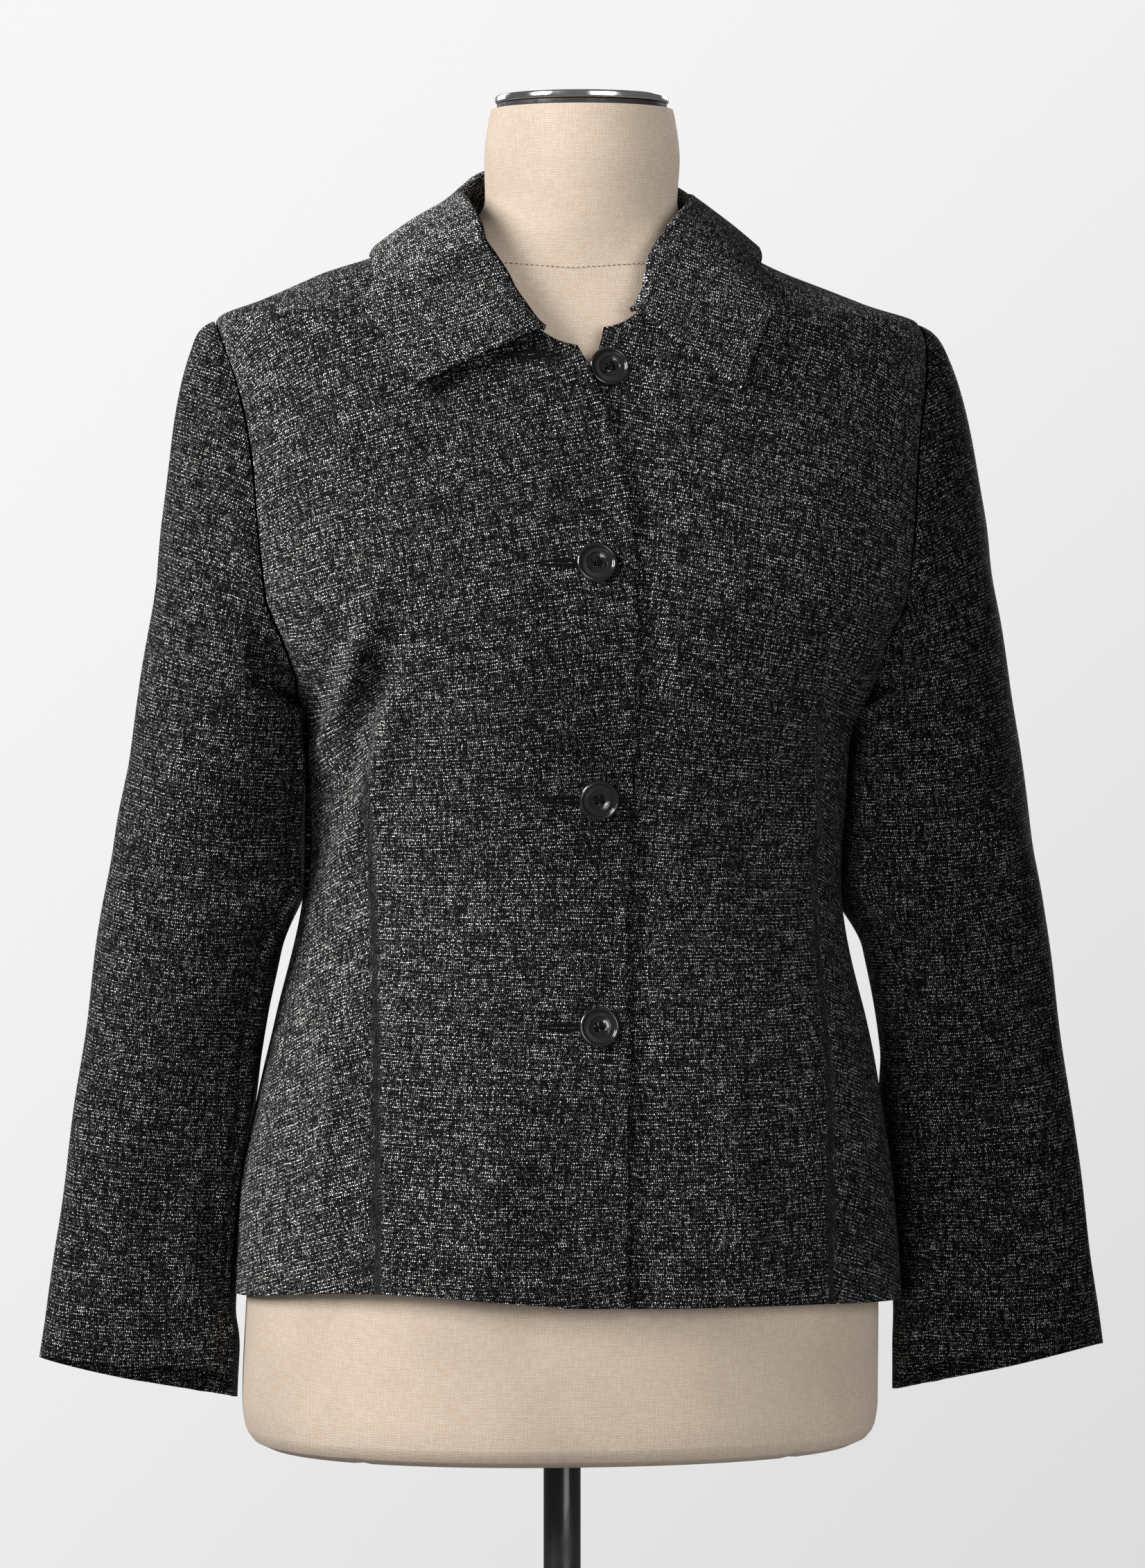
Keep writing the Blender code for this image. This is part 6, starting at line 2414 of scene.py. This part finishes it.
@dataclass
class Studio:
    """Pale floor, soft light from the left, and the photograph's camera."""

    image_size: tuple[int, int] = (1652, 2263)
    pixel: float = 0.41e-3
    distance: float = 3.6
    azimuth: float = math.radians(-6.0)
    eye_height: float = 1.183
    axis_column: float = 811.0
    horizon_row: float = 900.0
    floor_radius: float = 6.0
    floor_solid: float = 1.2
    floor_fade: float = 3.4
    aim: Place = (0.0, 0.0, 1.12)
    light_colour: tuple[float, float, float] = (1.0, 0.99, 0.975)
    pale_seen: Colour = grey(0.93)
    dim_seen: Colour = (0.68, 0.68, 0.675, 1.0)
    sky: Colour = (0.92, 0.95, 1.0, 1.0)
    sky_strength: float = 0.15
    floor_dark: Colour = (0.78, 0.78, 0.77, 1.0)
    floor_light: Colour = (0.82, 0.82, 0.81, 1.0)
    floor_glow: Colour = (0.86, 0.86, 0.855, 1.0)
    glow_strength: float = 0.45

    def camera(self) -> None:
        """Place the camera where the photograph was taken."""
        across, tall = self.image_size
        lens = bpy.data.cameras.new("camera")
        lens.sensor_width = 36.0
        lens.lens = lens.sensor_width * self.distance / (tall * self.pixel)
        lens.shift_x = (across / 2 - self.axis_column) / tall
        lens.shift_y = (self.horizon_row - tall / 2) / tall
        eye = add_object("camera", lens)
        eye.location = (
            self.distance * math.sin(self.azimuth),
            -self.distance * math.cos(self.azimuth),
            self.eye_height,
        )
        eye.rotation_euler = (math.pi / 2, 0.0, self.azimuth)
        bpy.context.scene.camera = eye

    def lamp(self, name: str, place: Place, size: Pair, power: float, lit: list[Object]) -> None:
        """Hang one soft box.

        Args:
            name: the light's name.
            place: where it hangs.
            size: its width and height.
            power: its power in watts.
            lit: pieces that it lights; all pieces where the list is empty.
        """
        light = bpy.data.lights.new(name, "AREA")
        light.shape = "RECTANGLE"
        light.size, light.size_y = size
        light.energy = power
        light.color = self.light_colour
        lamp = add_object(name, light)
        lamp.location = place
        lamp.rotation_euler = (Vector(self.aim) - Vector(place)).to_track_quat("-Z", "Y").to_euler()
        if lit:
            group = bpy.data.collections.new(f"{name}_lit")
            for piece in lit:
                group.objects.link(piece)
            lamp.light_linking.receiver_collection = group

    def world(self) -> None:
        """Pale surround: bright to the camera, dimmer as light on the object."""
        world = bpy.data.worlds.new("studio")
        world.use_nodes = True
        bpy.context.scene.world = world
        w = Wiring(world.node_tree)
        w.tree.nodes.clear()
        way = w.node("ShaderNodeTexCoord").outputs["Generated"]
        side = w.node("ShaderNodeSeparateXYZ", {0: way}).outputs
        # The surround seen by the camera is darker towards the lower right, a painted shade across the
        # backdrop.
        low = w.math("SUBTRACT", side["X"], side["Z"])
        seen = w.mix(w.ease(low, -0.1, 0.5), self.pale_seen, self.dim_seen)
        shown = w.node("ShaderNodeBackground", {"Color": seen, "Strength": 1.0}).outputs[0]
        lit = w.node("ShaderNodeBackground", {"Color": self.sky, "Strength": self.sky_strength}).outputs[0]
        ray = w.node("ShaderNodeLightPath").outputs["Is Camera Ray"]
        both = w.node("ShaderNodeMixShader", {0: ray, 1: lit, 2: shown}).outputs[0]
        w.node("ShaderNodeOutputWorld", {"Surface": both})

    def build(self, jacket: dict[str, list[Object]], form: list[Object]) -> None:
        """Set up floor, light, surround and camera.

        Args:
            jacket: pieces of the jacket: its collar, each front, and the rest as its body.
            form: pieces of the dress form and its stand.
        """
        deselect_all()
        bpy.ops.mesh.primitive_circle_add(vertices=96, radius=self.floor_radius, fill_type="NGON")
        floor = bpy.context.object
        floor.name = "studio_floor"
        w, shader = new_material("pale_floor")
        place = w.node("ShaderNodeTexCoord").outputs["Object"]
        cloud = w.ease(w.cloud(place, 1.2, 3.0, flat=False), 0.3, 0.7)
        w.feed(shader.inputs["Base Color"], w.mix(cloud, self.floor_dark, self.floor_light))
        shader.inputs["Roughness"].default_value = 0.7
        away = w.node("ShaderNodeVectorMath", {0: place}, operation="LENGTH").outputs["Value"]
        far = w.ease(away, self.floor_solid, self.floor_fade)
        tone = {"Color": self.floor_glow, "Strength": self.glow_strength}
        glow = w.node("ShaderNodeEmission", tone).outputs[0]
        bright = w.node("ShaderNodeAddShader", {0: shader.outputs[0], 1: glow}).outputs[0]
        ray = w.node("ShaderNodeLightPath").outputs["Is Camera Ray"]
        near = w.node("ShaderNodeMixShader", {0: ray, 1: shader.outputs[0], 2: bright}).outputs[0]
        clear = w.node("ShaderNodeBsdfTransparent").outputs[0]
        both = w.node("ShaderNodeMixShader", {0: far, 1: near, 2: clear}).outputs[0]
        w.feed(w.tree.nodes["Material Output"].inputs["Surface"], both)
        wear_finish(floor, bpy.data.materials["pale_floor"])
        cloth = [obj for group in jacket.values() for obj in group]
        groups = {**jacket, "cloth": cloth, "form": form, "all": []}
        for name, place, size, power, lit in LAMPS:
            self.lamp(name, place, size, power, groups[lit])
        self.world()
        self.camera()
        bpy.context.scene.view_settings.view_transform = "Standard"


def main() -> None:
    """Build and dress every piece, and report each cloth piece."""
    logging.basicConfig(level=logging.INFO, format="%(name)s: %(message)s")
    tweed, linen = TweedFinish().material(), LinenFinish().material()
    # The collar wears a copy of the tweed with more flecks and weaker dark streaks: painted light that makes
    # the collar look more lit than the fronts.
    collar_tweed_painted_light = TweedFinish("tweed_collar_painted_light", share=1.45, streaks=0.75).material()
    gloss = SmoothFinish("button_gloss", grey(0.008), grey(0.04), 0.16, 0.08, 0.004, coat=0.9)
    brown, dusty = (0.02, 0.018, 0.017, 1), (0.05, 0.045, 0.04, 1)
    matt = SmoothFinish("button_matt", brown, dusty, 0.5, 0.16, 0.002, specular=0.2)
    metal = SmoothFinish("cap_metal", (0.7, 0.71, 0.72, 1), grey(0.4), 0.12, 0.1, 0.012, metallic=1.0)
    # Near-black band: painted dark reflection and shade at the foot of the polished cap.
    band = SmoothFinish("band_painted_shade", brown, (0.08, 0.07, 0.06, 1), 0.55, 0.2, 0.006)
    paint = SmoothFinish("stand_paint", (0.012, 0.012, 0.013, 1), grey(0.06), 0.34, 0.16, 0.02, coat=0.2)
    black = ThreadFinish("thread_black", (0.002, 0.002, 0.003, 1), (0.007, 0.007, 0.008, 1)).material()
    tan = ThreadFinish("thread_tan", (0.12, 0.08, 0.06, 1), (0.22, 0.16, 0.11, 1)).material()
    cut = JacketCut()
    form, cap, stand = DressForm(), NeckCap(), Stand()
    body, top, foot = form.build(), cap.build(), stand.build()
    form.dress(body, linen, tan)
    cap.dress(top, band.material(), metal.material())
    stand.dress(foot, paint.material())
    pieces: list[ClothPiece] = [
        FrontPanel("front_right", side=Side.RIGHT),
        FrontPanel("front_left", side=Side.LEFT),
        BackPanel("back"),
        Collar("collar", thick=0.0029, offset=0.0, held=Held.FOLDED),
    ]
    for side in Side:
        upper = SleevePiece(f"upper_sleeve_{side.word}", side=side)
        seams = {"first_seam": upper.last_seam, "last_seam": math.radians(240.0)}
        pieces += [upper, SleevePiece(f"under_sleeve_{side.word}", side=side, columns=52, **seams)]
    for piece in pieces:
        piece.build(cut)
        piece.dress(collar_tweed_painted_light if isinstance(piece, Collar) else tweed)
        LOG.info(
            "%s: %d faces, cut %.3f x %.3f m, %.4f m2",
            piece.name, len(piece.obj.data.polygons), *piece.flat_size, piece.flat_area,
        )
    fronts = {piece.side: piece.obj for piece in pieces if isinstance(piece, FrontPanel)}
    buttons = ButtonSet()
    sewn = buttons.build(cut, fronts)
    buttons.dress(sewn, (gloss.material(), matt.material()), black)
    jacket = {name: [] for name in ("collar", "front_right", "front_left", "body")}
    for piece in pieces:
        jacket[piece.node if piece.node in jacket else "body"].append(piece.obj)
    jacket["body"] += [obj for kind in sewn.values() for obj in kind]
    Studio().build(jacket, body + top + foot)


if __name__ == "__main__":
    main()
